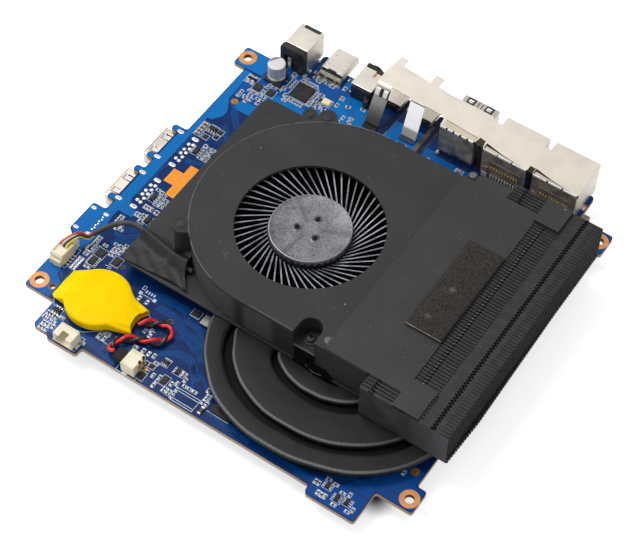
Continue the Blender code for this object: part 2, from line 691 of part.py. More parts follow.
def volute(grow):
    """Spiral wall of the blower from its front, round the left, to its rear, as plan points."""
    points = []
    for i in range(25):
        share = i / 24
        angle = math.radians(-90 - 180 * share)
        radius = VOLUTE_START + VOLUTE_GROWTH * share + grow
        points.append((FAN_X + radius * math.cos(angle), FAN_Y + radius * math.sin(angle)))
    return points


def duct_outline(grow, end):
    points = volute(grow)
    return [(end, points[-1][1]), (end, points[0][1]), *points]


def notch(grow, low, high):
    """The U-shaped recess for a screw in the blower's front edge."""
    radius = NOTCH_R + grow
    front = FAN_Y - VOLUTE_START - 2.0
    bow = arc(NOTCH_X, NOTCH_Y, radius, 0, 180, 10)
    return flat([(NOTCH_X + radius, front), *bow, (NOTCH_X - radius, front)], low, high)


def volute_radius(x, y):
    """The volute wall's outer radius in the direction of that point, and the point's own radius."""
    share = ((-90 - math.degrees(math.atan2(y - FAN_Y, x - FAN_X))) % 360) / 180
    return VOLUTE_START + VOLUTE_GROWTH * share, math.hypot(x - FAN_X, y - FAN_Y)


def lug(x, y, radius, low, high):
    """A round-ended lug at that point, run back into the volute's wall."""
    out = Vector((x - FAN_X, y - FAN_Y)).normalized()
    heading = math.degrees(math.atan2(out.y, out.x))
    wall, reach = volute_radius(x, y)
    step = out * (reach - wall + CASE_WALL / 2)
    tip = arc(x, y, radius, heading - 90, heading + 90, 8)
    root = [(tip[-1][0] - step.x, tip[-1][1] - step.y), (tip[0][0] - step.x, tip[0][1] - step.y)]
    return flat(tip + root, low, high)


def build_blower_case():
    """Open-topped volute with its floor, screw posts and the recess's wall."""
    case = cut(
        flat(duct_outline(0, DUCT_END), CASE_LOW, CASE_HIGH),
        flat(duct_outline(-CASE_WALL, DUCT_END + OVERCUT), CASE_LOW + CASE_FLOOR, CASE_HIGH + OVERCUT),
    )
    wall_middle = FAN_Y - VOLUTE_START + CASE_WALL / 2
    pillar = cut(notch(CASE_WALL, CASE_LOW + 0.2, CASE_HIGH - 0.2), block(70, 105, 0, wall_middle, 0, 25))
    fuse(case, pillar, *(lug(x, y, radius - 0.6, CASE_LOW + 0.2, CASE_HIGH - 0.2) for x, y, radius in EARS))
    cut(case, notch(0, NOTCH_FLOOR, CASE_HIGH + OVERCUT))
    part("blower_case", case, "fan_plastic")


def build_blower_cover():
    """Flat lid with the round inlet, screw ears and the screw recess."""
    inlet = circle(FAN_X, FAN_Y, INLET_R, 48)
    cover = flat(duct_outline(0.4, DUCT_END), COVER_LOW, COVER_HIGH, [inlet])
    fuse(cover, *(lug(x, y, radius, COVER_LOW, COVER_HIGH) for x, y, radius in EARS))
    part("blower_cover", cut(cover, notch(0, COVER_LOW - 1, COVER_HIGH + 1)), "fan_plastic")


def build_stator():
    """Bearing tube and coil drum that stand on the blower's floor inside the hub."""
    foot = CASE_LOW + CASE_FLOOR + SEAT
    profile = [
        (3.2, 16.8), (3.2, 15.8), (11.4, 15.8), (11.4, 10.0),
        (3.2, 10.0), (3.2, 8.6), (7.0, 8.6), (7.0, foot),
        (1.4, foot), (1.4, 16.8),
    ]
    part("blower_stator", turned(profile, FAN_X, FAN_Y, 24, closed=True), "copper")


def blade_slats():
    """Mid surfaces of the blades: each slat starts inside the hub wall and runs straight outward."""
    shape = bmesh.new()
    for number in range(BLADES):
        turn = 2 * math.pi * number / BLADES
        normal = Vector((math.cos(turn), math.sin(turn), 0))
        along = Vector((-normal.y, normal.x, 0))
        rows = []
        for radius, top in BLADE_STATIONS:
            reach = math.sqrt(radius**2 - BLADE_TANGENT_R**2)
            foot = normal * BLADE_TANGENT_R + along * reach
            levels = [foot + Vector((0, 0, height)) for height in (BLADE_LOW, top)]
            rows.append([shape.verts.new(level * MM) for level in levels])
        for inner, outer in zip(rows, rows[1:]):
            shape.faces.new((inner[0], outer[0], outer[1], inner[1]))
    mesh = bpy.data.meshes.new("slats")
    shape.to_mesh(mesh)
    shape.free()
    obj = bpy.data.objects.new("slats", mesh)
    obj.location = Vector((FAN_X, FAN_Y, 0)) * MM
    thick = obj.modifiers.new("Thickness", "SOLIDIFY")
    thick.thickness = BLADE_THICK * MM
    thick.offset = 0.0
    return obj


def build_rotor():
    """Hub cup with its shaft, and the ring of blades fused to the hub's wall; it turns about Z."""
    hub = turned(
        [(0, HUB_TOP), (HUB_R - 0.4, HUB_TOP), (HUB_R, HUB_TOP - 0.4), (HUB_R, HUB_LOW),
         (HUB_R - HUB_WALL, HUB_LOW), (HUB_R - HUB_WALL, HUB_TOP - 1.0), (SHAFT_R, HUB_TOP - 1.0),
         (SHAFT_R, HUB_LOW + 0.4), (0, HUB_LOW + 0.4)], FAN_X, FAN_Y, 40)
    part("blower_rotor", fuse(hub, blade_slats()), "rotor_plastic")


def build_fin_stack():
    """Folded fins zipped into one stack: closed top and bottom skins with a gap between each pair."""
    stack = block(FIN_X0, FIN_X1, FIN_Y0, FIN_Y1, FIN_LOW, FIN_HIGH)
    gaps = int((FIN_Y1 - FIN_Y0 - FIN_THICK) / FIN_PITCH)
    shape = bmesh.new()
    deep = FIN_HIGH - FIN_LOW - 2 * FIN_SKIN
    size = Vector((FIN_X1 - FIN_X0 + 2 * OVERCUT, FIN_PITCH - FIN_THICK, deep)) * MM
    for number in range(gaps):
        middle = FIN_Y0 + FIN_THICK + number * FIN_PITCH + (FIN_PITCH - FIN_THICK) / 2
        place = Vector(((FIN_X0 + FIN_X1) / 2, middle, (FIN_LOW + FIN_HIGH) / 2)) * MM
        bmesh.ops.create_cube(shape, size=1.0, matrix=Matrix.LocRotScale(place, None, size))
    mesh = bpy.data.meshes.new("gaps")
    shape.to_mesh(mesh)
    shape.free()
    part("fin_stack", cut(stack, bpy.data.objects.new("gaps", mesh)), "black_coat")


def build_heat_pipes():
    """Flat pipes: a left leg over the processor, a half circle, and a right leg under the fins."""
    thick = (PIPE_HIGH - PIPE_LOW) / 2
    for name, (radius, width) in PIPES.items():
        flank = width / 2 - thick
        half = arc(flank, 0, thick, -90, 90, 5)
        section = outline_curve([half + [(-x, -y) for x, y in half]], 0)
        section.fill_mode = "NONE"
        profile = bpy.data.objects.new("section", section)
        bend = arc(BEND_X, BEND_Y, radius, 180, 360, 20)
        path = [(BEND_X - radius, PIPE_LEFT_END), *bend, (BEND_X + radius, PIPE_RIGHT_END)]
        curve = bpy.data.curves.new("pipe", "CURVE")
        curve.dimensions = "3D"
        curve.twist_mode = "Z_UP"
        curve.bevel_mode = "OBJECT"
        curve.bevel_object = profile
        curve.use_fill_caps = True
        spline = curve.splines.new("POLY")
        spline.points.add(len(path) - 1)
        for point, (x, y) in zip(spline.points, path):
            point.co = (x, y, PIPE_LOW + thick, 1.0)
        pipe = solid_of(curve)
        bpy.data.objects.remove(profile)
        pipe.data.shade_smooth()
        part(name, pipe, "black_coat")


def build_cold_plate():
    """Copper block over the processor with a groove for each pipe."""
    x0, x1, low, high, floor = 50.0, 91.0, 1.7, 4.9, 2.2
    outline = [(x0, low), (x1, low), (x1, high)]
    for radius, width in sorted(PIPES.values()):
        middle, half = BEND_X - radius, width / 2 + SEAT
        outline += [(middle + half, high), (middle + half, floor)]
        outline += [(middle - half, floor), (middle - half, high)]
    part("cold_plate", along_y(outline + [(x0, high)], 34.0, 66.0), "copper")


def build_base_plate():
    """Thin painted plate that carries the blower, on four legs screwed through the board."""
    x0, x1, y0, y1 = 18.3, 110.3, 17.6, 98.4
    corner = [(x0, y1), (x0, y0), (x1, y0), (x1, y1)]
    plate = flat(rounded(corner, 4.0, 4), PLATE_LOW, PLATE_HIGH)
    fuse(plate, *(drum(x, y, PLATE_LEG_R, SEAT, PLATE_HIGH - 0.2, 12) for x, y in PLATE_LEGS))
    part("cooler_base_plate", plate, "black_coat")


def build_duct_film():
    """Film over the joint of blower and fins, with a tab on each end of the fins."""
    left, step, right = 95.0, 122.8, 131.0
    outline = [
        (left, 18.4), (122.0, 18.4), (122.0, FIN_Y0), (right, FIN_Y0), (right, 24.2),
        (step, 24.2), (step, 94.0),
        (right, 94.0), (right, FIN_Y1), (122.0, FIN_Y1), (122.0, 97.0), (left, 97.0),
    ]
    part("duct_film", flat(outline, 20.1, 20.3), "film")


def build_foam_pad():
    part("foam_pad", soften(block(110.3, 122.6, 39.2, 76.0, 20.5, 21.4), 0.25), "foam")


def tape_point(across, along):
    """A point of the tape: flat on the plate, raised over the lead, climbing the blower's wall."""
    front = TAPE_FRONT + 9.6 * along
    wall_x = FAN_X - math.sqrt(37.0**2 - (FAN_Y - front) ** 2)
    x = TAPE_LEFT + (min(wall_x - 1.0, 43.0) - TAPE_LEFT) * across
    past_post = min(max((x - 27.5) / 2.5, 0.0), 1.0)
    y = TAPE_FRONT + (11.8 - 2.4 * past_post) * along
    lead_y = 29.7 - 4.0 * min(max((x - 19.0) / 22.0, 0.0), 1.0)
    ridge = 2.5 * math.exp(-(((y - lead_y) / 2.4) ** 2))
    wall, radius = volute_radius(x, y)
    climb = max(0.0, 1.0 - (radius - wall) / 5.0) ** 1.5 * (1.5 + 3.5 * along)
    return Vector((x, y, PLATE_HIGH + 0.5 + ridge + climb)) * MM


def build_tape_patch():
    """Tape over the fan lead, from the plate's corner to the blower's wall."""
    columns, rows = 14, 9
    shape = bmesh.new()
    grid = [
        [shape.verts.new(tape_point(i / (columns - 1), j / (rows - 1))) for j in range(rows)]
        for i in range(columns)
    ]
    for left, right in zip(grid, grid[1:]):
        for j in range(rows - 1):
            shape.faces.new((left[j], right[j], right[j + 1], left[j + 1]))
    mesh = bpy.data.meshes.new("tape")
    shape.to_mesh(mesh)
    shape.free()
    obj = bpy.data.objects.new("tape", mesh)
    thick = obj.modifiers.new("Thickness", "SOLIDIFY")
    thick.thickness = TAPE_THICK * MM
    thick.offset = 0.0
    part("tape_patch", obj, "tape")


def build_processor():
    """Bare-die processor soldered to the board under the cold plate."""
    package = flat(box_outline(50.0, 90.0, 37.5, 62.5), 0.15, 0.8)
    part("processor", fuse(package, block(58.0, 79.0, 44.0, 56.0, 0.7, 1.4)), "substrate")


def build_memory_sockets():
    """Memory sockets on the underside: a slotted bar with a latch arm at each end."""
    x0, x1, arm, bar, reach = 32.0, 105.6, 4.5, 7.0, 33.0
    low, high = UNDERSIDE, -BOARD_THICK - SEAT
    for number, y0 in enumerate((17.0, 60.0), start=1):
        y1 = y0 + reach
        outline = [
            (x0, y0), (x1, y0), (x1, y1), (x1 - arm, y1), (x1 - arm, y0 + bar), (x0 + arm, y0 + bar),
            (x0 + arm, y1), (x0, y1),
        ]
        slot = block(x0 + 2.4, x1 - 2.4, y0 + bar - 2.4, y0 + bar + 1, -5.4, -4.2)
        part(f"memory_socket_{number}", cut(flat(outline, low, high), slot), "black_moulding")


def build_drive_socket():
    """Edge socket for a drive card on the underside, with its long slot and key."""
    x0, x1, y0, y1 = 110.0, 132.0, 96.0, 104.7
    low, high = -5.8, -BOARD_THICK - SEAT
    socket = cut(block(x0, x1, y0, y1, low, high), block(x0 + 1, x1 - 1, y0 - 1, y0 + 3.5, -4.8, -3.7))
    key = block(x1 - 6.2, x1 - 5.2, y0 + 0.6, y0 + 4, -5.2, -3.2)
    part("drive_socket", fuse(socket, key), "black_moulding")


clear_scene()
PARTS = new_collection("single_board_computer")
CUTTERS = new_collection("cutters")
DATUM = new_datum()
build_board()
build_power_inlet()
build_rear_signal_ports()
build_audio_jack()
build_usb_stack()
build_lan_jacks()
build_port_bracket()
build_front_ports()
build_capacitor()
build_controller_chip()
build_headers()
build_battery()
build_battery_leads()
build_fan_lead()
build_processor()
build_cold_plate()
build_heat_pipes()
build_base_plate()
build_blower_case()
build_stator()
build_rotor()
build_blower_cover()
build_fin_stack()
build_duct_film()
build_foam_pad()
build_tape_patch()
build_memory_sockets()
build_drive_socket()
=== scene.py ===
import math
import random

import bpy
from mathutils import Matrix, Vector


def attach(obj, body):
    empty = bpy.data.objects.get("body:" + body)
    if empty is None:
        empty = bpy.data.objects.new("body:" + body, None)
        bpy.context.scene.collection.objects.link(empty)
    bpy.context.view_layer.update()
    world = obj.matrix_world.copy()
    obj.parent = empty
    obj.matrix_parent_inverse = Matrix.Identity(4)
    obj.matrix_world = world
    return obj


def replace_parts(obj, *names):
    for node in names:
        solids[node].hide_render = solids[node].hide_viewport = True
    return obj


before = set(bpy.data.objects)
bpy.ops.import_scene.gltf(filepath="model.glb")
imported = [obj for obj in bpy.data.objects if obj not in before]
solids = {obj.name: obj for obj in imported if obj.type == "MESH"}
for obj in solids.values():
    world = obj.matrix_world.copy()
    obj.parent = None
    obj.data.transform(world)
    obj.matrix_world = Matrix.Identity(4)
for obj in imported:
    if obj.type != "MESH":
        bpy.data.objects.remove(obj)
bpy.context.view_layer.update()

studio = bpy.context.scene
studio.view_settings.view_transform = "Standard"

# Camera: a long lens above the front right corner, where the photograph was taken from. Its place
# and axes were solved from the four mounting holes, which are 137.9 by 113.5 mm apart.
lens = bpy.data.cameras.new("camera")
lens.sensor_width = 36.0
lens.lens = 105.75
camera = bpy.data.objects.new("camera", lens)
camera_axes = Matrix((
    (0.82906, -0.46317, 0.31327),
    (0.55895, 0.67080, -0.48746),
    (0.01563, 0.57923, 0.81501),
))
camera.matrix_world = Matrix.LocRotScale(Vector((0.18948, -0.29659, 0.49178)), camera_axes, None)
studio.collection.objects.link(camera)
studio.camera = camera


# Studio: a white sweep under the board, a white surround that darkens overhead, one large soft lamp
# above the left edge and a small low one beyond it. The sweep has a painted shadow in the board's
# notch at the front right, and is plain white elsewhere.
class Wire:
    """One socket of a node tree: arithmetic on it adds Math nodes, and node() adds any other node."""

    def __init__(self, tree, socket):
        self.tree = tree
        self.socket = socket

    def node(self, kind, settings=None, inputs=None, result=0):
        made = self.tree.nodes.new("ShaderNode" + kind)
        for name, value in (settings or {}).items():
            setattr(made, name, value)
        for name, value in (inputs or {}).items():
            socket = made.inputs[name]
            if isinstance(value, Wire):
                self.tree.links.new(value.socket, socket)
            elif socket.type == "RGBA":
                socket.default_value = (*value, 1.0)
            else:
                socket.default_value = value
        return Wire(self.tree, made.outputs[result])

    def math(self, operation, *others):
        return self.node("Math", {"operation": operation}, dict(enumerate((self, *others))))

    def __add__(self, other):
        return self.math("ADD", other)

    def __sub__(self, other):
        return self.math("SUBTRACT", other)

    def __rsub__(self, other):
        return self.node("Math", {"operation": "SUBTRACT"}, {0: other, 1: self})

    def __mul__(self, other):
        return self.math("MULTIPLY", other)

    def __pow__(self, other):
        return self.math("POWER", other)

    def __gt__(self, other):
        return self.math("GREATER_THAN", other)

    def __lt__(self, other):
        return self.math("LESS_THAN", other)

    __radd__, __rmul__ = __add__, __mul__


def source(tree, kind, output):
    """An output of a node that needs no inputs."""
    return Wire(tree, tree.nodes.new("ShaderNode" + kind).outputs[output])


def part_of(spot, axis):
    return spot.node("SeparateXYZ", None, {0: spot}, axis)


def between(value, low, high):
    """0 below low, 1 above high, and a smooth step between them."""
    inputs = {"Value": value, "From Min": low, "From Max": high}
    return value.node("MapRange", {"interpolation_type": "SMOOTHSTEP"}, inputs)


def light_of(colour):
    """Light values of a colour as it looks on a screen, 0 to 255."""
    return [((part / 255 + 0.055) / 1.055) ** 2.4 if part > 10 else part / 3295 for part in colour]


def tint(share, first, second):
    """A colour from first to second as share goes from 0 to 1; plain colours are as on a screen."""
    first, second = (end if isinstance(end, Wire) else light_of(end) for end in (first, second))
    return share.node("Mix", {"data_type": "RGBA"}, {0: share, 6: first, 7: second}, 2)


origin_from_hole = Vector((68.1, 58.8, -7.4))


def finish(name, paint, **plain):
    """A material: plain values for whole sockets, and what paint gives for a spot of the surface.

    A spot is in millimetres from the front left mounting hole, at the board's top."""
    made = bpy.data.materials.new(name)
    made.use_nodes = True
    tree = made.node_tree
    sockets = tree.nodes["Principled BSDF"].inputs
    for socket, value in plain.items():
        sockets[socket.replace("_", " ")].default_value = value
    place = source(tree, "TexCoord", "Object")
    steps = {0: place, 1: (1000.0, 1000.0, 1000.0), 2: origin_from_hole}
    spot = place.node("VectorMath", {"operation": "MULTIPLY_ADD"}, steps)
    for socket, wire in paint(spot).items():
        tree.links.new(wire.socket, sockets[socket])
    return made


def add_object(name, data):
    made = bpy.data.objects.new(name, data)
    studio.collection.objects.link(made)
    return made


surround = bpy.data.worlds.new("surround")
surround.use_nodes = True
studio.world = surround
sky = surround.node_tree
surround_light, overhead_loss = 0.6, 0.45
seen = source(sky, "LightPath", "Is Camera Ray") + source(sky, "LightPath", "Is Transmission Ray")
mirrored = source(sky, "LightPath", "Is Glossy Ray")
overhead = between(part_of(source(sky, "TexCoord", "Generated"), 2), 0.15, 0.65)
brightness = seen + mirrored * (1.0 - overhead * overhead_loss) + (1.0 - seen - mirrored) * surround_light
sky.links.new(brightness.socket, sky.nodes["Background"].inputs["Strength"])
sky.nodes["Background"].inputs["Color"].default_value = (1.0, 1.0, 1.0, 1.0)

sweep_half, sweep_level = 2.5, -0.0003
# Middle and reach of the painted shadow on the sweep, in the board's notch.
painted_shadow_middle, painted_shadow_radius = (127.5, -1.5, -7.7), 8.0


def matt_paper(spot):
    """White paper with a painted shadow in the notch, and a glow for the camera alone."""
    from_painted_shadow = spot.node("VectorMath", {"operation": "DISTANCE"}, {0: spot, 1: painted_shadow_middle}, 1)
    outside_painted_shadow = between(from_painted_shadow, 0.0, painted_shadow_radius)
    return {
        "Base Color": tint(outside_painted_shadow, (89, 89, 89), (238.6, 238.6, 238.6)),
        "Emission Color": source(spot.tree, "LightPath", "Is Camera Ray") * outside_painted_shadow,
    }


sweep_mesh = bpy.data.meshes.new("sweep")
sweep_corners = ((-1, -1), (1, -1), (1, 1), (-1, 1))
sweep_mesh.from_pydata(
    [(x * sweep_half, y * sweep_half, sweep_level) for x, y in sweep_corners], [], [(0, 1, 2, 3)])
sweep_mesh.materials.append(
    finish("sweep_paper", matt_paper, Roughness=1.0, Specular_IOR_Level=0.0, Emission_Strength=0.6))
sweep = add_object("sweep", sweep_mesh)


def soft_lamp(name, place, target, size, watts):
    lamp = bpy.data.lights.new(name, "AREA")
    lamp.size = size
    lamp.energy = watts
    made = add_object(name, lamp)
    made.location = place
    made.rotation_mode = "QUATERNION"
    made.rotation_quaternion = (Vector(target) - Vector(place)).to_track_quat("-Z", "Y")


soft_lamp("key_lamp", (-0.38, 0.04, 0.80), (0.0, 0.0, 0.0), 0.45, 3.8)
soft_lamp("side_lamp", (-0.86, 0.02, 0.40), (0.0, 0.0, 0.0), 0.26, 1.7)


# Clock battery leads: a red and a black stranded wire in glossy vinyl, 40 mm long and loosely
# twisted, from the mouth of the battery's sleeve round to the plug in its header.
def from_hole(x, y, z):
    """Metres in the frame for millimetres from the front left mounting hole at the board's top."""
    return (Vector((x, y, z)) - origin_from_hole) / 1000


def cloud(spot, size, detail=2.0):
    """Soft random values from 0 to 1, in patches about size millimetres wide."""
    return spot.node("TexNoise", None, {"Vector": spot, "Scale": 1.0 / size, "Detail": detail})


def relief(height, depth):
    """Normals of a surface that is depth millimetres higher where height is 1."""
    return height.node("Bump", None, {"Height": height, "Distance": depth / 1000})


def moulded(colour, worn, rough=0.5, grain=0.3, depth=0.012, patch=7.0):
    """Moulded plastic: a fine tool grain, and slow patches where it is paler and more worn."""
    def paint(spot):
        wear = between(cloud(spot, patch, 4.0), 0.35, 0.72)
        return {
            "Base Color": tint(wear, colour, worn),
            "Roughness": wear * 0.14 + (rough - 0.07),
            "Normal": relief(cloud(spot, grain, 3.0), depth),
        }
    return paint


def moulding(name, *values, **plain):
    """A material of moulded plastic or of any other even stuff with a grain."""
    return finish(name, moulded(*values), **plain)


def smooth_route(points, count):
    """Points at even steps on a smooth curve through the given points, and its length."""
    given = [Vector(point) for point in points]
    fine = []
    for i in range(len(given) - 1):
        before, after = given[max(i - 1, 0)], given[min(i + 2, len(given) - 1)]
        start, end = given[i], given[i + 1]
        for step in range(24):
            t = step / 24
            square, cube = 2 * before - 5 * start + 4 * end - after, 3 * start - before - 3 * end + after
            fine.append(0.5 * (2 * start + (end - before) * t + square * t**2 + cube * t**3))
    fine.append(given[-1])
    lengths = [0.0]
    for first, second in zip(fine, fine[1:]):
        lengths.append(lengths[-1] + (second - first).length)
    route, spot = [], 0
    for step in range(count):
        wanted = lengths[-1] * step / (count - 1)
        while spot < len(fine) - 2 and lengths[spot + 1] < wanted:
            spot += 1
        share = (wanted - lengths[spot]) / max(lengths[spot + 1] - lengths[spot], 1e-9)
        route.append(fine[spot].lerp(fine[spot + 1], min(share, 1.0)))
    return route, lengths[-1]


def heading_frame(route, i):
    """The side and up directions of a route at one of its points."""
    ahead = (route[min(i + 1, len(route) - 1)] - route[max(i - 1, 0)]).normalized()
    side = ahead.cross(Vector((0, 0, 1))).normalized()
    return side, side.cross(ahead)


def insulated_wire(name, route, radius, look, node):
    """A round wire along a route, in place of its plain solid."""
    curve = bpy.data.curves.new(name, "CURVE")
    curve.dimensions = "3D"
    curve.bevel_depth = radius / 1000
    curve.bevel_resolution = 4
    curve.use_fill_caps = True
    line = curve.splines.new("POLY")
    line.points.add(len(route) - 1)
    for point, place in zip(line.points, route):
        point.co = (*from_hole(*place), 1.0)
    curve.materials.append(look)
    made = add_object(name, curve)
    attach(made, "board")
    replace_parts(made, node)
    return made


def length_of(route):
    return sum((b - a).length for a, b in zip(route, route[1:])) / 1000


lead_route, lead_length = smooth_route((
    (36.6, 3.4, 2.2), (38.6, 5.2, 2.0), (41.4, 7.2, 1.7), (44.8, 7.9, 1.6), (46.9, 5.2, 1.6),
    (45.6, 1.6, 1.6), (41.2, -0.4, 1.6), (37.2, -2.6, 1.6), (34.6, -5.6, 1.7), (35.0, -8.4, 2.0),
    (37.2, -9.2, 2.2),
), 140)
lead_radius, lead_twist, lead_turn, lead_lift = 0.62, 0.68, 8.5, 0.3
lead_looks = {
    "red": ((206, 16, 20), (232, 34, 34)),
    "black": ((20, 20, 22), (38, 38, 40)),
}
for phase, (colour, (deep, pale)) in zip((0.0, math.pi), lead_looks.items()):
    strand = []
    for i, place in enumerate(lead_route):
        side, up = heading_frame(lead_route, i)
        turn = phase + 2 * math.pi * lead_length * i / (len(lead_route) - 1) / lead_turn
        lift = Vector((0, 0, lead_lift if phase == 0 else -lead_lift))
        strand.append(place + (side * math.cos(turn) + up * math.sin(turn)) * lead_twist + lift)
    vinyl = moulding(f"{colour}_lead_vinyl", deep, pale, 0.3, 0.5, 0.006, 3.0, Coat_Weight=0.3)
    lead = insulated_wire(
        f"lead_{colour}", strand, lead_radius, vinyl, f"battery_lead_{colour}")
    length_of(strand)


# Fan lead: four thin coloured wires from the plug over the board into a matt black sleeve, which
# arches onto the cooler's plate, runs under the tape there and goes into the blower's wall.
def sleeving(spot):
    """Black sleeving with a fine slanting weave and a grey bloom."""
    bloom = between(cloud(spot, 2.5, 3.0), 0.3, 0.75)
    pattern = {"Vector": spot, "Scale": 1.9, "Distortion": 0.6}
    weave = spot.node("TexWave", {"bands_direction": "DIAGONAL"}, pattern)
    return {
        "Base Color": tint(bloom, (44, 44, 45), (66, 66, 67)),
        "Roughness": bloom * 0.16 + 0.42,
        "Normal": relief(weave, 0.02),
    }


sleeve_route, _ = smooth_route((
    (4.8, 21.7, 3.7), (6.9, 25.0, 4.8), (11.2, 28.7, 6.7), (16.0, 30.1, 7.5), (20.4, 29.5, 7.5),
    (26.0, 28.2, 7.5), (32.0, 26.8, 7.5), (37.0, 26.0, 7.5), (41.0, 25.7, 7.5),
), 80)
sleeve_radius = 0.85
black_sleeving = finish("black_sleeving", sleeving)
fan_lead = insulated_wire(
    "fan_lead", sleeve_route, sleeve_radius, black_sleeving, "fan_lead_sleeve")
entry = (sleeve_route[1] - sleeve_route[0]).normalized()
mouth = sleeve_route[0] - entry * 0.45
wire_route, _ = smooth_route((
    (0.1, 12.2, 3.2), (0.2, 12.7, 4.7), (0.6, 14.8, 5.0), (1.9, 18.3, 4.9),
    mouth - entry * 1.5, mouth + entry * 0.4,
), 44)
wire_radius, wire_step, wire_nest = 0.34, 0.8, 0.36
fan_wire_looks = {
    "red": ((196, 52, 48), (222, 92, 84)),
    "white": ((196, 194, 196), (226, 224, 224)),
    "black": ((26, 26, 28), (44, 44, 46)),
    "yellow": ((226, 200, 36), (240, 224, 92)),
}
for number, (colour, (deep, pale)) in enumerate(fan_wire_looks.items()):
    strand = []
    for i, place in enumerate(wire_route):
        side, up = heading_frame(wire_route, i)
        in_row = side * wire_step * (number - 1.5)
        in_sleeve = (side * (2 * (number // 2) - 1) + up * (1 - 2 * (number % 2))) * wire_nest
        share = i / (len(wire_route) - 1)
        strand.append(place + in_row.lerp(in_sleeve, share * share * (3 - 2 * share)))
    vinyl = moulding(f"{colour}_fan_vinyl", deep, pale, 0.36, 0.4, 0.005, 2.0)
    insulated_wire(
        f"fan_lead_{colour}", strand, wire_radius, vinyl, f"fan_wire_{colour}")
length_of(sleeve_route)


# Main board: glass-epoxy laminate 1.6 mm thick under glossy blue solder mask. The mask is bright
# over copper and navy over bare laminate, and the routed edges show the tan laminate in layers.
def laminate(spot):
    """Navy mask on the faces, with a faint glass weave, and tan layered laminate on the cut edges."""
    height = part_of(spot, 2)
    edge = (height < -0.05) * (height > -1.55)
    bands = (height * 14.0).math("SINE") * 0.2
    layers = between(cloud(spot, 0.25, 2.0), 0.3, 0.7) * 0.6 + bands + 0.2
    ply = tint(layers, (158, 130, 98), (206, 182, 148))
    drift = between(cloud(spot, 9.0, 3.0), 0.32, 0.7)
    mask = tint(drift, (10, 40, 92), (14, 52, 108))
    weave = cloud(spot, 0.5, 2.0)
    return {
        "Base Color": tint(edge, mask, ply),
        "Roughness": edge * 0.5 + weave * 0.06 + 0.14,
        "Normal": relief(weave, 0.004),
    }


sharp_angle = math.radians(34)


def angle_shading():
    """A modifier group that shades a solid smooth, apart from its sharp edges."""
    group = bpy.data.node_groups.new("angle_shading", "GeometryNodeTree")
    for way in ("INPUT", "OUTPUT"):
        group.interface.new_socket("Geometry", in_out=way, socket_type="NodeSocketGeometry")
    kinds = (
        "NodeGroupInput", "GeometryNodeRemoveAttribute", "GeometryNodeSetShadeSmooth",
        "GeometryNodeSetShadeSmooth", "NodeGroupOutput", "GeometryNodeInputMeshEdgeAngle",
        "FunctionNodeCompare",
    )
    given, plain, smooth, sharp, result, angle, test = (group.nodes.new(kind) for kind in kinds)
    plain.inputs["Name"].default_value = "custom_normal"
    sharp.domain = "EDGE"
    sharp.inputs["Shade Smooth"].default_value = False
    test.data_type, test.operation = "FLOAT", "GREATER_THAN"
    test.inputs[1].default_value = sharp_angle
    for first, second in ((given, plain), (plain, smooth), (smooth, sharp), (sharp, result)):
        group.links.new(first.outputs[0], second.inputs[0])
    group.links.new(angle.outputs[0], test.inputs[0])
    group.links.new(test.outputs[0], sharp.inputs["Selection"])
    return group


shading = angle_shading()


def dress(look, *names, edge=None):
    """Gives solids of the frame a finish.

    An edge is the millimetres their sharp edges are rounded by; with any edge, or 0, curves are smooth."""
    for name in names:
        solid = solids[name]
        solid.material_slots[0].material = look
        if edge is None:
            continue
        solid.modifiers.new("weld", "WELD").merge_threshold = 1e-6
        if edge:
            bevel = solid.modifiers.new("edges", "BEVEL")
            bevel.width = edge / 1000
            bevel.segments = 2
            bevel.limit_method = "ANGLE"
            bevel.angle_limit = sharp_angle
        solid.modifiers.new("shading", "NODES").node_group = shading
        flat_faces = solid.modifiers.new("flat_faces", "WEIGHTED_NORMAL")
        flat_faces.keep_sharp = True
        flat_faces.weight = 100


dress(finish("blue_laminate", laminate, Specular_IOR_Level=0.2), "main_board", edge=0)
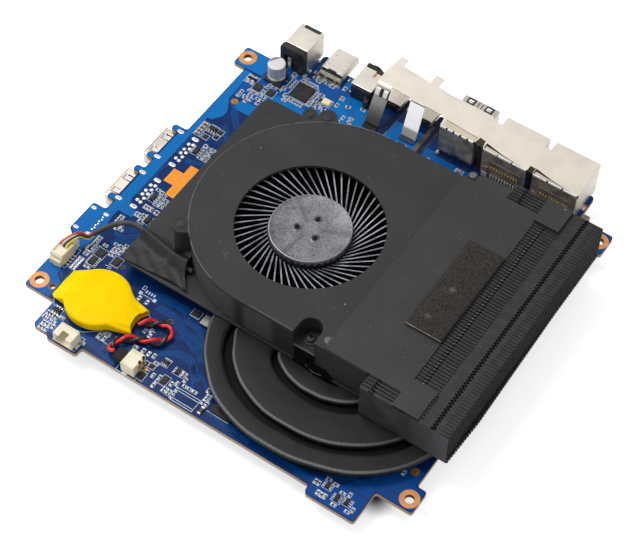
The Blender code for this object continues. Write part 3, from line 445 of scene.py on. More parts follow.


# Copper under the mask: the pours that make the left and rear of the board bright blue, with a
# painted sheen that brightens them further there, bundles of traces that wander between the parts,
# and the plated holes that join the layers.
class Shape:
    """Faces gathered in millimetres for one piece; each has the piece's finish or one of its own."""

    def __init__(self, look):
        self.look, self.spots, self.faces, self.finishes = look, [], [], []

    def loft(self, loops, look=None, closed=False):
        """Walls between like loops of spots; the first and last are filled, or joined if closed."""
        first, size, count = len(self.spots), len(loops[0]), len(loops)
        for loop in loops:
            self.spots.extend(loop)
        old = len(self.faces)
        for ring in range(count if closed else count - 1):
            low = first + ring * size
            high = first + (ring + 1) % count * size
            pairs = [(i, (i + 1) % size) for i in range(size)]
            self.faces += [(low + i, low + j, high + j, high + i) for i, j in pairs]
        if not closed:
            self.faces.append(tuple(range(first + size - 1, first - 1, -1)))
            self.faces.append(tuple(range(first + (count - 1) * size, first + count * size)))
        self.finishes += [look or self.look] * (len(self.faces) - old)

    def prism(self, outline, low, high, look=None):
        self.loft([raised(outline, z) for z in (low, high)], look)

    def brick(self, x, y, low, length, width, high, look=None, edge=0.0, turn=0):
        """An upright block with its top edges cut back by edge."""
        loops = [(length, width, low), (length, width, high - edge)]
        if edge:
            loops.append((length - 2 * edge, width - 2 * edge, high))
        self.loft([raised(oblong(x, y, a, b, turn), z) for a, b, z in loops], look)

    def bricks(self, look, edge, *blocks):
        """Blocks of one finish, each x, y, low, length, width and high."""
        for block in blocks:
            self.brick(*block, look, edge)

    def row(self, count, step_x, step_y, x, y, *block):
        """Like blocks in a row, of which x and y place the first."""
        for k in range(count):
            self.brick(x + step_x * k, y + step_y * k, *block)

    def turned(self, x, y, profile, sides=24, look=None):
        """A solid of revolution from (radius, height) pairs, bottom to top."""
        self.loft([raised(round_outline(x, y, radius, sides), z) for radius, z in profile], look)

    def band(self, outer, inner, low, high, look=None):
        """A closed band between two like outlines."""
        corners = ((outer, low), (outer, high), (inner, high), (inner, low))
        self.loft([raised(outline, z) for outline, z in corners], look, True)

    def ring(self, x, y, low, high, inner, outer, look=None, sides=32):
        self.band(round_outline(x, y, outer, sides), round_outline(x, y, inner, sides), low, high, look)

    def bead(self, x, y, low, length, width, high, look=None, turn=0):
        """A solder joint: a low rounded oval dome."""
        steps = ((1.0, 0.0), (0.96, 0.45), (0.8, 0.8), (0.45, 1.0))
        self.loft([raised(oval(x, y, length * k, width * k, turn), low + (high - low) * h)
                   for k, h in steps], look)

    def stroke(self, points, width, low, high, look=None):
        """A flat line of even width with mitred corners."""
        loops = []
        for i, (x, y) in enumerate(points):
            before, after = points[max(i - 1, 0)], points[min(i + 1, len(points) - 1)]
            into = Vector((x - before[0], y - before[1])) if i else Vector((after[0] - x, after[1] - y))
            out = Vector((after[0] - x, after[1] - y)) if i < len(points) - 1 else into
            into, out = into.normalized(), out.normalized()
            ahead = (into + out).normalized()
            half = width / 2 / max(ahead.dot(into), 0.4)
            left = Vector((-ahead.y, ahead.x)) * half
            sides = (x - left.x, y - left.y), (x + left.x, y + left.y)
            loops.append(raised(sides, low) + raised(sides[::-1], high))
        self.loft(loops, look)

    def frame(self, x, y, length, width, line, low, high, look=None, turn=0):
        """A printed or folded rectangle of an even line."""
        inner = oblong(x, y, length - 2 * line, width - 2 * line, turn)
        self.band(oblong(x, y, length, width, turn), inner, low, high, look)

    def tube(self, points, radius, sides=10, look=None):
        """A round bar along points, with flat ends."""
        route = [Vector(point) for point in points]
        loops = []
        for i, place in enumerate(route):
            ahead = (route[min(i + 1, len(route) - 1)] - route[max(i - 1, 0)]).normalized()
            u = ahead.orthogonal().normalized()
            v = ahead.cross(u)
            loops.append([tuple(place + u * a + v * b) for a, b in round_outline(0, 0, radius, sides)])
        self.loft(loops, look)


def raised(outline, z):
    """A flat outline at one height."""
    return [(x, y, z) for x, y in outline]


def moved(x, y, turn, spots):
    """Flat spots turned by degrees about the origin and moved to a place."""
    c, s = math.cos(math.radians(turn)), math.sin(math.radians(turn))
    return [(x + u * c - v * s, y + u * s + v * c) for u, v in spots]


def oblong(x, y, length, width, turn=0):
    """The corners of a turned rectangle, anticlockwise."""
    a, b = length / 2, width / 2
    return moved(x, y, turn, ((-a, -b), (a, -b), (a, b), (-a, b)))


def round_outline(x, y, radius, sides=24):
    turns = [2 * math.pi * k / sides for k in range(sides)]
    return [(x + radius * math.cos(a), y + radius * math.sin(a)) for a in turns]


def oval(x, y, length, width, turn=0, sides=12):
    """A pill outline: straight flanks and round ends."""
    radius, flank = width / 2, max(length - width, 0.0) / 2
    turns = [2 * math.pi * (k + 0.5) / sides for k in range(sides)]
    ends = [(math.cos(a), math.sin(a)) for a in turns]
    return moved(x, y, turn, [(radius * u + math.copysign(flank, u), radius * v) for u, v in ends])


def piece(name, shape, body="board", smooth=34):
    """Makes an object of a shape, which rides on a body of the frame."""
    mesh = bpy.data.meshes.new(name)
    mesh.from_pydata([from_hole(*spot) for spot in shape.spots], [], shape.faces)
    looks = list(dict.fromkeys(shape.finishes))
    mesh.polygons.foreach_set("material_index", [looks.index(look) for look in shape.finishes])
    for look in looks:
        mesh.materials.append(look)
    if smooth:
        mesh.shade_smooth()
        mesh.set_sharp_from_angle(angle=math.radians(smooth))
    made = add_object(name, mesh)
    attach(made, body)
    return made


def masked_copper(bright, deep):
    """Mask over copper, with a painted sheen that makes it brighter towards the left and rear of the board.
    """
    def paint(spot):
        across = part_of(spot, 0) * 0.9 - part_of(spot, 1) * 0.55
        # Painted sheen: the mask grows brighter towards the left and rear.
        painted_sheen = between(across + cloud(spot, 14.0, 2.0) * 24.0, -26.0, 62.0)
        drift = cloud(spot, 3.0, 3.0)
        return {
            "Base Color": tint(painted_sheen, bright, deep),
            "Roughness": drift * 0.08 + 0.13,
            "Normal": relief(cloud(spot, 0.5, 2.0), 0.003),
        }
    return paint


pour_blue = finish("pour_mask", masked_copper((8, 107, 179), (7, 66, 138)), Specular_IOR_Level=0.2)
trace_blue = finish("trace_mask", masked_copper((18, 84, 150), (20, 76, 144)), Specular_IOR_Level=0.2)
dim_blue = finish("dim_mask", masked_copper((10, 78, 148), (7, 58, 124)), Specular_IOR_Level=0.2)
pours = Shape(pour_blue)
pour_top = 0.02
front_ports = (67.35, 46.4)
pour_outlines = (
    [(-4.7, 22.0), (-2.7, 20.8), (-2.7, 15.2), (3.2, 15.2), (4.2, 22.0), (4.2, 28.0), (3.4, 33.7),
     (-4.7, 33.7)],
    [(0.3, 33.7), (3.4, 33.7), (3.6, 36.0), (8.6, 36.0), (9.8, 38.2), (5.4, 39.8), (4.2, 42.0),
     (4.2, 75.0), (0.3, 75.0)],
    [(2.3, 75.0), (4.2, 75.0), (4.2, 83.8), (6.0, 84.2), (8.2, 87.4), (8.2, 90.0), (5.2, 95.2),
     (5.0, 108.6), (2.3, 108.6)],
    [(8.6, 92.3), (15.6, 92.3), (15.6, 97.0), (9.4, 97.0)],
    [(-2.7, 109.3), (8.4, 109.3), (10.0, 117.3), (-2.7, 117.3)],
    [(16.4, 101.0), (30.4, 101.0), (30.8, 104.8), (29.0, 105.4), (17.6, 105.4)],
    [(29.6, 105.9), (60.0, 99.2), (68.5, 99.2), (68.5, 119.0), (57.2, 119.0), (57.2, 113.6),
     (55.2, 110.6), (51.2, 111.2), (50.2, 119.0), (40.0, 119.0), (36.0, 117.4), (36.0, 109.0)],
    [(72.0, 98.6), (90.6, 98.6), (90.6, 114.8), (72.0, 114.8)],
    [(12.3, 117.9), (21.0, 117.9), (21.0, 126.1), (12.3, 126.1)],
    [(34.0, 120.6), (38.0, 120.6), (38.0, 126.1), (34.0, 126.1)],
    [(-2.7, -3.5), (6.4, -3.5), (6.4, 2.6), (3.0, 5.2), (3.0, 15.2), (-2.7, 15.2)],
    [(79.0, -10.4), (111.4, -11.4), (111.4, -14.6), (112.2, -15.5), (128.3, -15.5), (128.3, -7.2),
     (119.4, -7.2), (108.4, -9.6)],
    [(119.6, -6.9), (128.3, -6.9), (128.3, -3.5), (140.6, -3.5), (140.6, 4.5), (137.2, 4.5),
     (137.2, 10.0), (132.6, 10.0)],
    [(138.0, 109.1), (140.7, 109.1), (140.7, 117.3), (128.6, 117.3), (128.6, 106.0), (137.2, 106.0)],
    [(9.2, -4.2), (14.6, -4.2), (16.4, -9.4), (16.4, -13.4), (14.2, -14.3), (10.0, -14.3), (9.2, -13.4)],
)
dim_outlines = (
    [(8.6, 105.6), (29.2, 105.6), (35.8, 109.2), (35.8, 117.4), (39.8, 119.2), (33.8, 120.4),
     (21.2, 117.7), (10.2, 117.2), (8.6, 109.2)],
    [(9.4, 97.2), (15.6, 97.2), (16.2, 101.0), (17.4, 105.4), (8.6, 105.4), (5.4, 104.0), (5.3, 97.0)],
    [(126.0, 119.6), (128.0, 119.6), (128.0, 127.2), (127.0, 128.1), (126.0, 127.2)],
    [(22.0, 120.2), (33.6, 120.6), (33.6, 126.0), (22.0, 126.0)],
)
mounting_holes = ((0.0, 0.0), (137.9, 0.0), (0.0, 113.5), (137.9, 113.5))


def with_hole(outline, x, y, radius):
    """An outline with a round opening, which a slit from its nearest corner runs in to."""
    start = min(range(len(outline)), key=lambda k: math.dist(outline[k], (x, y)))
    first = math.atan2(outline[start][1] - y, outline[start][0] - x)
    turns = [first - 2 * math.pi * k / 24 for k in range(25)]
    ring = [(x + radius * math.cos(a), y + radius * math.sin(a)) for a in turns]
    return outline[:start + 1] + ring + outline[start:]


for outline in pour_outlines:
    xs, ys = zip(*outline)
    for x, y, radius in (*((x, y, 2.4) for x, y in mounting_holes), (5.0, 0.3, 1.1)):
        if min(xs) < x < max(xs) and min(ys) < y < max(ys):
            outline = with_hole(outline, x, y, radius)
    pours.prism(outline, 0.0, pour_top)
for middle in front_ports:
    for side in (-1, 1):
        pours.brick(-1.1, middle + side * 6.98, 0.0, 3.0, 1.9, pour_top)
for outline in dim_outlines:
    pours.prism(outline, 0.0, pour_top, dim_blue)
piece("copper_pours", pours)

traces = Shape(trace_blue)
trace_top = 0.03
trace_bundles = (
    ([(20.0, -9.2), (27.0, -9.2), (33.0, -10.4), (40.0, -10.8)], 4, 0.62),
    ([(23.0, -4.4), (28.0, -1.2), (33.5, -1.8), (36.5, -4.6), (36.5, -9.6)], 3, 0.62),
    ([(37.0, 12.6), (43.0, 12.6), (49.0, 9.6), (54.6, 9.6), (60.0, 4.0)], 5, 0.58),
    ([(48.0, -0.6), (52.0, 2.4), (57.4, 2.4), (63.0, -3.0), (63.0, -4.6)], 5, 0.58),
    ([(47.0, 13.4), (52.0, 13.4), (57.0, 8.6)], 4, 0.56),
    ([(47.6, 6.4), (51.2, 8.2), (55.2, 6.2), (58.8, 6.4)], 3, 0.6),
    ([(58.4, 1.4), (60.6, -0.8), (65.0, -0.8), (67.2, -3.0)], 3, 0.56),
    ([(31.0, 14.4), (36.0, 16.6), (45.8, 16.6)], 5, 0.56),
    ([(31.6, -7.8), (34.0, -9.4), (33.0, -11.0)], 3, 0.6),
    ([(72.0, -9.4), (80.0, -9.8), (88.0, -10.9)], 3, 0.55), ([(9.6, 91.6), (15.4, 85.4)], 4, 0.6),
    ([(6.4, 95.2), (9.2, 92.4)], 3, 0.6), ([(9.4, 64.8), (15.4, 66.6)], 3, 0.56),
    ([(4.6, 44.8), (4.6, 58.4), (5.6, 60.2)], 2, 0.6), ([(4.4, 74.4), (4.4, 66.2)], 2, 0.6),
    ([(9.4, 24.2), (10.8, 26.4), (13.8, 26.8), (15.6, 28.4)], 3, 0.6),
    ([(8.4, 27.8), (12.0, 28.2), (15.6, 31.4)], 3, 0.62), ([(6.6, 9.0), (6.6, 3.4)], 2, 0.6),
    ([(3.6, 12.0), (3.6, 6.2), (5.0, 4.8)], 2, 0.55), ([(11.4, 84.0), (15.4, 79.4)], 3, 0.7),
    ([(38.4, 117.4), (44.4, 111.4), (44.4, 104.0)], 4, 0.6),
    ([(50.0, 110.0), (55.0, 105.0), (66.0, 105.0)], 5, 0.6),
    ([(73.0, 112.6), (80.0, 112.6), (84.0, 108.6), (89.6, 108.6)], 4, 0.6),
    ([(88.6, 13.0), (97.0, 14.6), (106.0, 12.6)], 4, 0.6),
    ([(126.4, -1.0), (131.4, 4.0), (131.4, 9.4)], 4, 0.6),
    ([(113.6, -7.0), (120.0, -3.6), (127.0, -3.6)], 3, 0.6),
)
trace_width, via_top, via_hole, via_ring = 0.26, 0.035, 0.14, 0.34
chance = random.Random(7)
for points, count, pitch in trace_bundles:
    run = (Vector(points[-1]) - Vector(points[0])).normalized()
    for number in range(count):
        shift = (number - (count - 1) / 2) * pitch
        track = [(x - run.y * shift, y + run.x * shift) for x, y in points]
        traces.stroke(track, trace_width, 0.0, trace_top)
    for x, y in (points[0], points[-1]):
        beside = x + chance.uniform(-1.4, 1.4), y + chance.uniform(0.5, 1.2)
        for spot in ((x, y), beside):
            traces.ring(*spot, 0.0, via_top, via_hole, via_ring, sides=10)
piece("copper_traces", traces)


# Bare copper: a ring round each mounting hole on both faces, the square patch for a shield spring
# and two gold dots, etched flat under a lacquer that keeps them orange. The slots that are milled
# beside the rear ports show their brown walls, with dark sheets of painted shade between them.
def bare_copper(spot):
    """Lacquered copper with a faint brushed drift and darker stains."""
    stain = between(cloud(spot, 1.6, 4.0), 0.42, 0.78)
    return {
        "Base Color": tint(stain, (240, 154, 52), (226, 138, 46)),
        "Roughness": stain * 0.16 + 0.36,
        "Normal": relief(cloud(spot, 0.3, 2.0), 0.006),
    }


copper_look = finish("lacquered_copper", bare_copper, Metallic=0.3, Specular_IOR_Level=0.15)
dark_barrel = moulding("plated_barrel", (104, 62, 36), (150, 100, 62), 0.4, 0.3, 0.01, 1.0, Metallic=0.6)
dot_gold = moulding("dot_gold", (178, 104, 34), (204, 132, 54), 0.35, 0.3, 0.006, 1.0, Metallic=0.4)
ring_olive = moulding("ring_olive", (86, 84, 44), (112, 104, 60), 0.5, 0.3, 0.006, 1.0)
slot_shadow = moulding("slot_shadow", (14, 26, 54), (28, 44, 80), 0.4, 0.3, 0.01, 2.0,
                       Specular_IOR_Level=0.2)
slot_wall = moulding("slot_wall", (82, 70, 60), (116, 102, 90), 0.5, 0.3, 0.01, 3.0,
                     Specular_IOR_Level=0.15)
ring_copper = moulding("ring_copper", (208, 142, 86), (222, 158, 104), 0.42, 0.3, 0.006, 2.0,
                       Metallic=0.2, Specular_IOR_Level=0.2)
rings = Shape(copper_look)
hole_radius, ring_radius, board_low = 1.5, 3.15, -1.6
for x, y in mounting_holes:
    for low in (0.0, board_low - 0.05):
        rings.ring(x, y, low, low + 0.05, hole_radius, ring_radius, ring_copper, 40)
    rings.ring(x, y, board_low, 0.0, hole_radius, hole_radius + 0.12, dark_barrel)
spring_patch = [
    (8.2, 54.0), (12.0, 54.0), (12.0, 49.7), (15.7, 49.7),
    (15.7, 64.1), (12.0, 64.1), (12.0, 60.0), (8.2, 60.0),
]
rings.prism(spring_patch, 0.0, 0.05)
for x, y in ((7.7, 94.8), (134.5, 8.6)):
    rings.turned(x, y, ((1.0, 0.0), (1.0, 0.05)), 28, dot_gold)
    rings.ring(x, y, 0.0, 0.06, 0.0, 0.3, dark_barrel, 14)
    rings.ring(x, y, 0.0, 0.04, 1.05, 1.45, ring_olive)
rings.ring(5.0, 0.3, 0.0, 0.05, 1.0, 1.3, dark_barrel)
rings.ring(5.0, 0.3, board_low, 0.0, 0.94, 1.02, dark_barrel)
rings.ring(43.3, 10.5, 0.0, 0.06, 0.55, 1.0, slot_wall)
rings.ring(18.6, 18.7, 0.0, 0.06, 0.4, 0.85, slot_wall, 18)
# Dark ovals of painted shade in the slots, with their brown walls beside them.
for x, y, length, width, low, high, look in (
    (55.8, 117.9, 21.0, 1.8, -0.4, 0.03, slot_shadow), (57.4, 117.0, 17.0, 0.22, 0.0, 0.03, slot_wall),
    (70.9, 118.6, 15.0, 1.5, -0.6, 0.0, slot_shadow), (69.0, 118.4, 14.6, 1.4, 0.0, 0.04, slot_wall),
    (70.0, 118.4, 15.0, 0.7, 0.0, 0.03, slot_shadow), (71.5, 117.4, 13.0, 0.22, 0.0, 0.03, slot_wall),
    (69.4, 126.4, 5.4, 2.3, -0.5, 0.05, slot_shadow), (56.2, 126.9, 4.2, 2.2, -0.5, 0.05, slot_shadow),
):
    rings.prism(oval(x, y, length, width, 90, 20), low, high, look)
# Navy strips of painted shade in front of the USB stack and the first network jack, with a thin pale strip of
# painted highlight beside the first.
rings.brick(82.5, 114.3, 0.0, 14.6, 1.3, 0.03, slot_shadow)
rings.brick(82.5, 113.45, 0.0, 14.6, 0.2, 0.04, trace_blue)
rings.brick(100.2, 114.2, 0.0, 16.0, 1.2, 0.03, slot_shadow)
slot_hole = oval(127.2, 122.6, 1.5, 0.8, 90, 20)
rings.band(oval(127.2, 122.6, 2.5, 1.7, 90, 20), slot_hole, 0.0, 0.06, ring_copper)
rings.prism(slot_hole, 0.0, 0.03, dark_barrel)
piece("bare_copper", rings)


# Solder: tinned round pads of the front ports, long pads of their shell legs, and the domes of the
# rear ports' pins. Reflowed bright tin, slightly uneven.
def bright_tin(spot):
    """Solder: bright, with a soft frosting where it froze."""
    frost = between(cloud(spot, 0.7, 3.0), 0.35, 0.75)
    return {
        "Base Color": tint(frost, (228, 230, 234), (188, 190, 196)),
        "Roughness": frost * 0.22 + 0.24,
        "Normal": relief(cloud(spot, 0.5, 2.0), 0.03),
    }


tin = finish("bright_tin", bright_tin, Metallic=0.75)
pad_white = moulding("pad_white", (226, 226, 224), (250, 250, 248), 0.35, 0.3, 0.01, 1.2, Metallic=0.25)
leg_end = moulding("leg_end", (176, 166, 150), (206, 198, 184), 0.35, 0.3, 0.006, 1.0, Metallic=0.5)
joints = Shape(tin)
for middle in front_ports:
    for x, offsets in ((6.05, (3.65, 1.05, -0.85, -3.55)), (7.5, (4.15, 2.15, 0.15, -1.95, -3.85))):
        for offset in offsets:
            joints.bead(x, middle + offset, 0.0, 1.3, 1.3, 0.22, pad_white)
    for side in (-6.45, 6.45):
        for x, length in ((6.65, 2.7), (0.6, 2.5)):
            joints.bead(x, middle + side, 0.0, length, 1.45, 0.2, pad_white)
            joints.prism(oval(x, middle + side, length * 0.52, 0.5, 0, 14), 0.1, 0.24, leg_end)
for x, y in ((-3.5, 32.2), (1.5, 32.2), (-3.5, 22.9), (1.4, 22.9)):
    joints.bead(x, y, 0.0, 2.0, 1.2, 0.2, pad_white)
    joints.prism(oval(x, y, 1.0, 0.4, 0, 14), 0.1, 0.24, leg_end)
for k in range(7):
    joints.bead(1.35 + 0.35 * (k % 2), 25.0 + 0.95 * k, 0.0, 0.85, 0.7, 0.25)
for x, y in (
    (11.2, 120.8), (21.2, 120.4), (21.2, 126.0), (23.6, 124.6), (34.4, 124.6), (37.6, 121.0), (46.9, 121.0),
):
    joints.bead(x, y, 0.0, 1.5, 0.9, 0.6, turn=90)
piece("solder_joints", joints)


# Small parts: chip resistors and capacitors with tinned ends, on tinned pads, each in a printed
# frame. They are reflowed in place, so each sits on a thin skin of solder.
chip_black = moulding("resistor_glaze", (18, 18, 20), (34, 34, 38), 0.35, 0.2, 0.004, 1.5,
                      Specular_IOR_Level=0.25)
chip_tan = moulding("capacitor_ceramic", (160, 118, 84), (190, 150, 112), 0.5, 0.15, 0.004, 0.8)
print_white = moulding("legend_ink", (186, 200, 222), (220, 228, 240), 0.6, 0.2, 0.006, 1.2)
chips = Shape(chip_black)
legend = Shape(print_white)
legend_top = 0.05


def printed_frame(x, y, length, width, line=0.15, turn=0):
    legend.frame(x, y, length, width, line, 0.0, legend_top, turn=turn)


def chip_pair(x, y, turn, kind="k", scale=1.0):
    """A chip part: two pads, two tinned ends and a glazed ("k") or ceramic ("t") body between them."""
    length, width, height = 1.05 * scale, 0.62 * scale, (0.42 if kind == "k" else 0.6) * scale
    for u, v in moved(x, y, turn, ((-length * 0.5, 0), (length * 0.5, 0))):
        chips.brick(u, v, 0.0, 0.48 * scale, width * 0.98, 0.07, tin, 0.02, turn)
    for u, v in moved(x, y, turn, ((-length * 0.38, 0), (length * 0.38, 0))):
        chips.brick(u, v, 0.07, length * 0.26, width, height, tin, 0.05 * scale, turn)
    body = chip_black if kind == "k" else chip_tan
    chips.brick(x, y, 0.07, length * 0.52, width * 0.96, height - 0.015, body, 0.03, turn)
    printed_frame(x, y, length * 1.8, width * 1.95, turn=turn)


def bare_pads(x, y, turn, scale=1.0):
    """An empty place for a chip part: its two tinned pads in their printed frame."""
    for u, v in moved(x, y, turn, ((-0.5 * scale, 0), (0.5 * scale, 0))):
        chips.brick(u, v, 0.0, 0.5 * scale, 0.6 * scale, 0.08, tin, 0.03, turn)
    printed_frame(x, y, 1.95 * scale, 1.15 * scale, turn=turn)


# Each place starts a column of parts: their turn, and the kind of each from rear to front.
across, along = 0, 90
chip_places = {
    (across, "kt"): ((5.6, 23.7),),
    (across, "kkk"): ((5.6, 21.3), (6.2, 34.4)),
    (across, "k"): (
        (7.4, 20.6), (11.6, 24.6), (13.4, 24.8), (14.8, 25.9), (10.2, -10.0), (11.9, -10.0),
        (13.6, -10.0), (9.0, 30.0), (12.2, 44.5), (14.1, 44.5), (12.2, 45.9), (12.3, 47.4), (14.1, 47.6),
        (12.3, 48.9), (9.4, 49.8), (12.4, 68.3), (14.3, 68.3), (12.4, 69.8), (12.5, 71.4), (12.6, 73.2),
        (14.3, 73.4), (9.3, 98.8), (10.4, 100.2), (10.9, 101.8), (13.0, 102.0), (14.7, 101.9),
        (13.5, 100.2), (15.1, 100.2), (13.6, 107.2), (15.2, 107.5), (16.9, 107.6), (18.0, 109.0),
        (28.6, -4.6), (30.4, -4.4), (25.8, -11.2), (49.1, -4.2), (61.1, -6.0), (62.9, -6.0), (64.7, -6.0),
        (115.0, -7.9), (117.6, -8.2), (120.6, -14.2), (120.8, -9.5), (125.2, -13.9), (24.2, 119.2),
        (26.0, 118.4), (31.2, 119.0), (48.0, 108.4), (60.0, 108.0), (84.0, 102.4), (17.1, 107.6),
        (22.7, 106.6), (28.5, 110.1), (26.9, 115.5), (17.7, 116.2), (23.4, 121.3), (29.2, 119.3),
        (25.2, 120.4), (36.9, 116.4), (45.4, 116.4), (9.7, 98.1), (13.5, 106.2), (5.9, 105.8),
        (31.2, 110.3),
    ),
    (across, "t"): (
        (8.9, 22.3), (14.9, -7.4), (14.3, 46.0), (14.4, 69.9), (9.2, 101.7), (40.2, -3.0), (21.0, 104.9),
        (32.5, 119.9), (44.3, 110.8),
    ),
    (across, "tk"): ((5.7, 17.3),),
    (along, "k"): (
        (8.4, 12.8), (9.8, 12.9), (12.0, 20.6), (13.3, 20.8), (13.3, 22.9), (14.6, 22.5), (10.0, -8.2),
        (11.1, -8.2), (13.3, -8.2), (14.7, -11.6), (8.4, 31.5), (7.3, 29.9), (9.4, 38.0), (10.6, 38.0),
        (11.1, 42.0), (14.1, 42.0), (15.2, 41.9), (11.0, 49.3), (14.3, 71.6), (11.0, 73.3), (10.4, 97.2),
        (11.6, 98.6), (14.3, 98.6), (15.4, 98.8), (13.3, 103.6), (17.3, 116.2), (28.6, -6.1),
        (30.4, -6.1), (43.0, -2.8), (46.9, -2.5), (48.5, -8.4), (59.8, -11.0), (59.8, -8.3), (57.2, -7.6),
        (59.9, -4.2), (67.9, -3.2), (68.8, -7.4), (70.2, -7.4), (70.2, -3.2), (112.0, -10.6),
        (113.1, -10.6), (114.6, -13.3), (115.8, -13.4), (122.9, -8.8), (126.2, -12.5), (131.8, 6.4),
        (36.6, 116.6), (37.0, 113.0), (52.6, 109.4), (74.6, 110.4), (86.6, 104.6), (20.0, 106.9),
        (27.3, 113.6), (26.8, 119.8), (35.2, 120.7), (41.8, 109.6), (7.2, 98.6), (33.0, 110.0),
    ),
    (along, "t"): (
        (12.0, 22.6), (15.0, 24.4), (12.2, -8.2), (9.9, 42.0), (12.3, 42.0), (50.8, -8.3), (58.6, -6.6),
        (117.0, -13.3), (22.4, 116.7), (17.7, 109.1),
    ),
    (along, "kkk"): ((7.35, 7.2), (52.9, -7.7)),
    (along, "tkk"): ((7.4, 2.4),),
    (along, "kk"): ((11.1, -11.8), (12.3, -11.8), (7.0, 99.7)),
    (along, "tk"): ((13.5, -11.8),),
    (across, "kk"): (
        (11.9, 38.9), (30.5, 113.9), (30.4, 109.6), (56.7, -9.8), (58.4, -9.9), (58.5, -2.4),
        (69.2, -4.7), (78.2, 104.6),
    ),
    (across, "kkkk"): ((18.9, 114.2),),
    (30, "k"): ((32.2, 108.3), (34.5, 108.7)),
    (20, "k"): ((40.6, 114.6),),
    (-40, "k"): ((44.6, 109.0),),
}
for (turn, kinds), places in chip_places.items():
    pitch = 1.15 if turn == across else 1.7
    for x, y in places:
        for number, kind in enumerate(kinds):
            chip_pair(x, y - number * pitch, turn, kind)
for x, y, turn, kind, scale in (
    (6.0, 106.1, along, "k", 2.1), (7.8, 106.1, along, "k", 2.1), (5.7, 18.6, across, "k", 1.6),
    (12.4, 36.3, across, "k", 1.3), (74.6, -5.8, across, "k", 2.2), (86.0, 112.0, across, "t", 1.6),
    *((5.7, y, across, "t", 1.5) for y in (81.2, 79.6, 78.0, 76.4)),
):
    chip_pair(x, y, turn, kind, scale)
for k in range(6):
    bare_pads(5.65, 13.9 - 0.88 * k, across, 1.2)
    bare_pads(21.4 + 1.05 * k, 115.8, along)
for k in range(7):
    bare_pads(20.9 + 1.02 * k, 106.2, along)
    bare_pads(28.7, 107.6 + 1.02 * k, across)
for x, y in ((30.0, 12.2), (33.0, 12.2), (39.0, 3.4), (40.6, 4.4), (41.2, 2.6), (45.0, -2.8)):
    bare_pads(x, y, along)


# Small chips: moulded epoxy packages with tinned legs or pads round their edges, among the chip
# parts. The power switches of the ports are the six-legged ones.
epoxy = moulding("chip_epoxy", (30, 29, 30), (48, 47, 48), 0.55, 0.18, 0.008, 2.0, Specular_IOR_Level=0.3)
packages = Shape(epoxy)


def legged_chip(x, y, turn, length=2.9, width=1.5, legs=3, height=1.0):
    """A package with bent legs on its two long sides."""
    packages.brick(x, y, 0.1, length, width, height, edge=0.12, turn=turn)
    pitch = length / legs
    for reach, low, depth, high in ((0.38, 0.0, 0.8, 0.22), (0.08, 0.1, 0.22, height * 0.6)):
        for k in range(legs):
            u, v = (k - (legs - 1) / 2) * pitch, width / 2 + reach
            for foot in moved(x, y, turn, ((u, -v), (u, v))):
                packages.brick(*foot, low, pitch * 0.45, depth, high, tin, 0.04, turn)
    printed_frame(x, y, length + 0.7, width + 2.0, 0.14, turn)


def leadless_chip(x, y, length, width, height=0.75, pads=4):
    """A flat package with pads that show round its foot."""
    packages.brick(x, y, 0.05, length, width, height, edge=0.08)
    for k in range(pads):
        share = (k - (pads - 1) / 2) / pads
        for side in (-0.5, 0.5):
            packages.bricks(
                tin, 0.02, (x + share * length, y + side * width, 0.0, length / pads * 0.55, 0.5, 0.09),
                (x + side * length, y + share * width, 0.0, 0.5, width / pads * 0.55, 0.09))
    printed_frame(x, y, length + 0.9, width + 0.9, 0.14)


for place in (
    (12.0, -6.2, 0, 2.8, 1.5), (9.9, 46.3, 90), (9.9, 70.1, 90), (14.1, 38.0, 90, 2.9, 1.7), (9.1, 80.7, 0),
    (51.4, -2.4, 0, 1.9, 1.2), (56.4, -3.0, 90, 2.0, 1.3), (115.9, -9.8, 90, 2.0, 1.3),
    (120.4, -11.9, 90, 2.0, 1.3), (123.6, -11.3, 90, 2.0, 1.3), (9.4, 15.2, 90, 3.0, 1.9, 4),
    (41.0, 106.0, 30, 2.4, 1.4), (82.0, 106.4, 0, 2.9, 1.5),
):
    legged_chip(*place)
for place in (
    (9.6, 19.0, 3.0, 3.0), (15.9, 19.1, 2.4, 3.1), (10.6, 104.3, 2.8, 2.8), (15.7, 104.6, 2.6, 2.6),
    (11.8, 80.9, 1.5, 1.5, 0.6, 3), (11.7, 78.5, 1.3, 1.3, 0.6, 3), (8.7, 76.7, 1.5, 1.5, 0.6, 3),
    (48.6, -5.9, 1.5, 1.3, 0.6, 3), (47.8, -10.5, 2.2, 2.4), (54.8, -7.8, 1.8, 3.0),
    (31.4, 111.8, 1.2, 1.2, 0.5, 2), (48.4, 17.4, 2.6, 2.0), (64.0, 109.6, 3.0, 3.0),
):
    leadless_chip(*place)
piece("small_chips", packages)
piece("chip_parts", chips)


# Legend: the white ink on the mask, which frames the connectors, the ports and the empty connector
# places. Screen printed in thin lines.
for place in (
    (0.5, 12.2, 6.6, 8.4, 0.16), (43.6, -9.0, 7.4, 8.0, 0.16), (21.5, -12.4, 8.6, 5.6, 0.16),
    (24.5, 111.0, 8.2, 8.2, 0.2), (33.6, 112.0, 4.0, 3.4, 0.18), (30.4, -5.3, 5.2, 4.0, 0.18),
    (64.0, -7.9, 8.2, 1.1, 0.2), (64.0, -11.7, 8.2, 1.0, 0.2), (29.2, 16.2, 1.2, 1.6, 0.18),
):
    printed_frame(*place)
for points in (
    ((60.0, -8.4), (60.0, -11.4)), ((68.0, -8.4), (68.0, -11.4)), ((71.4, -9.1), (79.4, -9.3)),
    ((20.2, -8.8), (23.4, -8.0), (27.4, -4.8)), ((31.4, -3.4), (37.0, -3.4), (37.0, -1.4)),
    ((30.6, 8.6), (36.6, 8.6), (38.4, 7.6)), ((29.4, 13.9), (35.0, 13.9)),
    ((7.1, 8.6), (8.4, 10.2), (12.8, 13.4)), ((8.2, -3.2), (10.8, -6.0)),
):
    legend.stroke(points, 0.16, 0.0, legend_top)
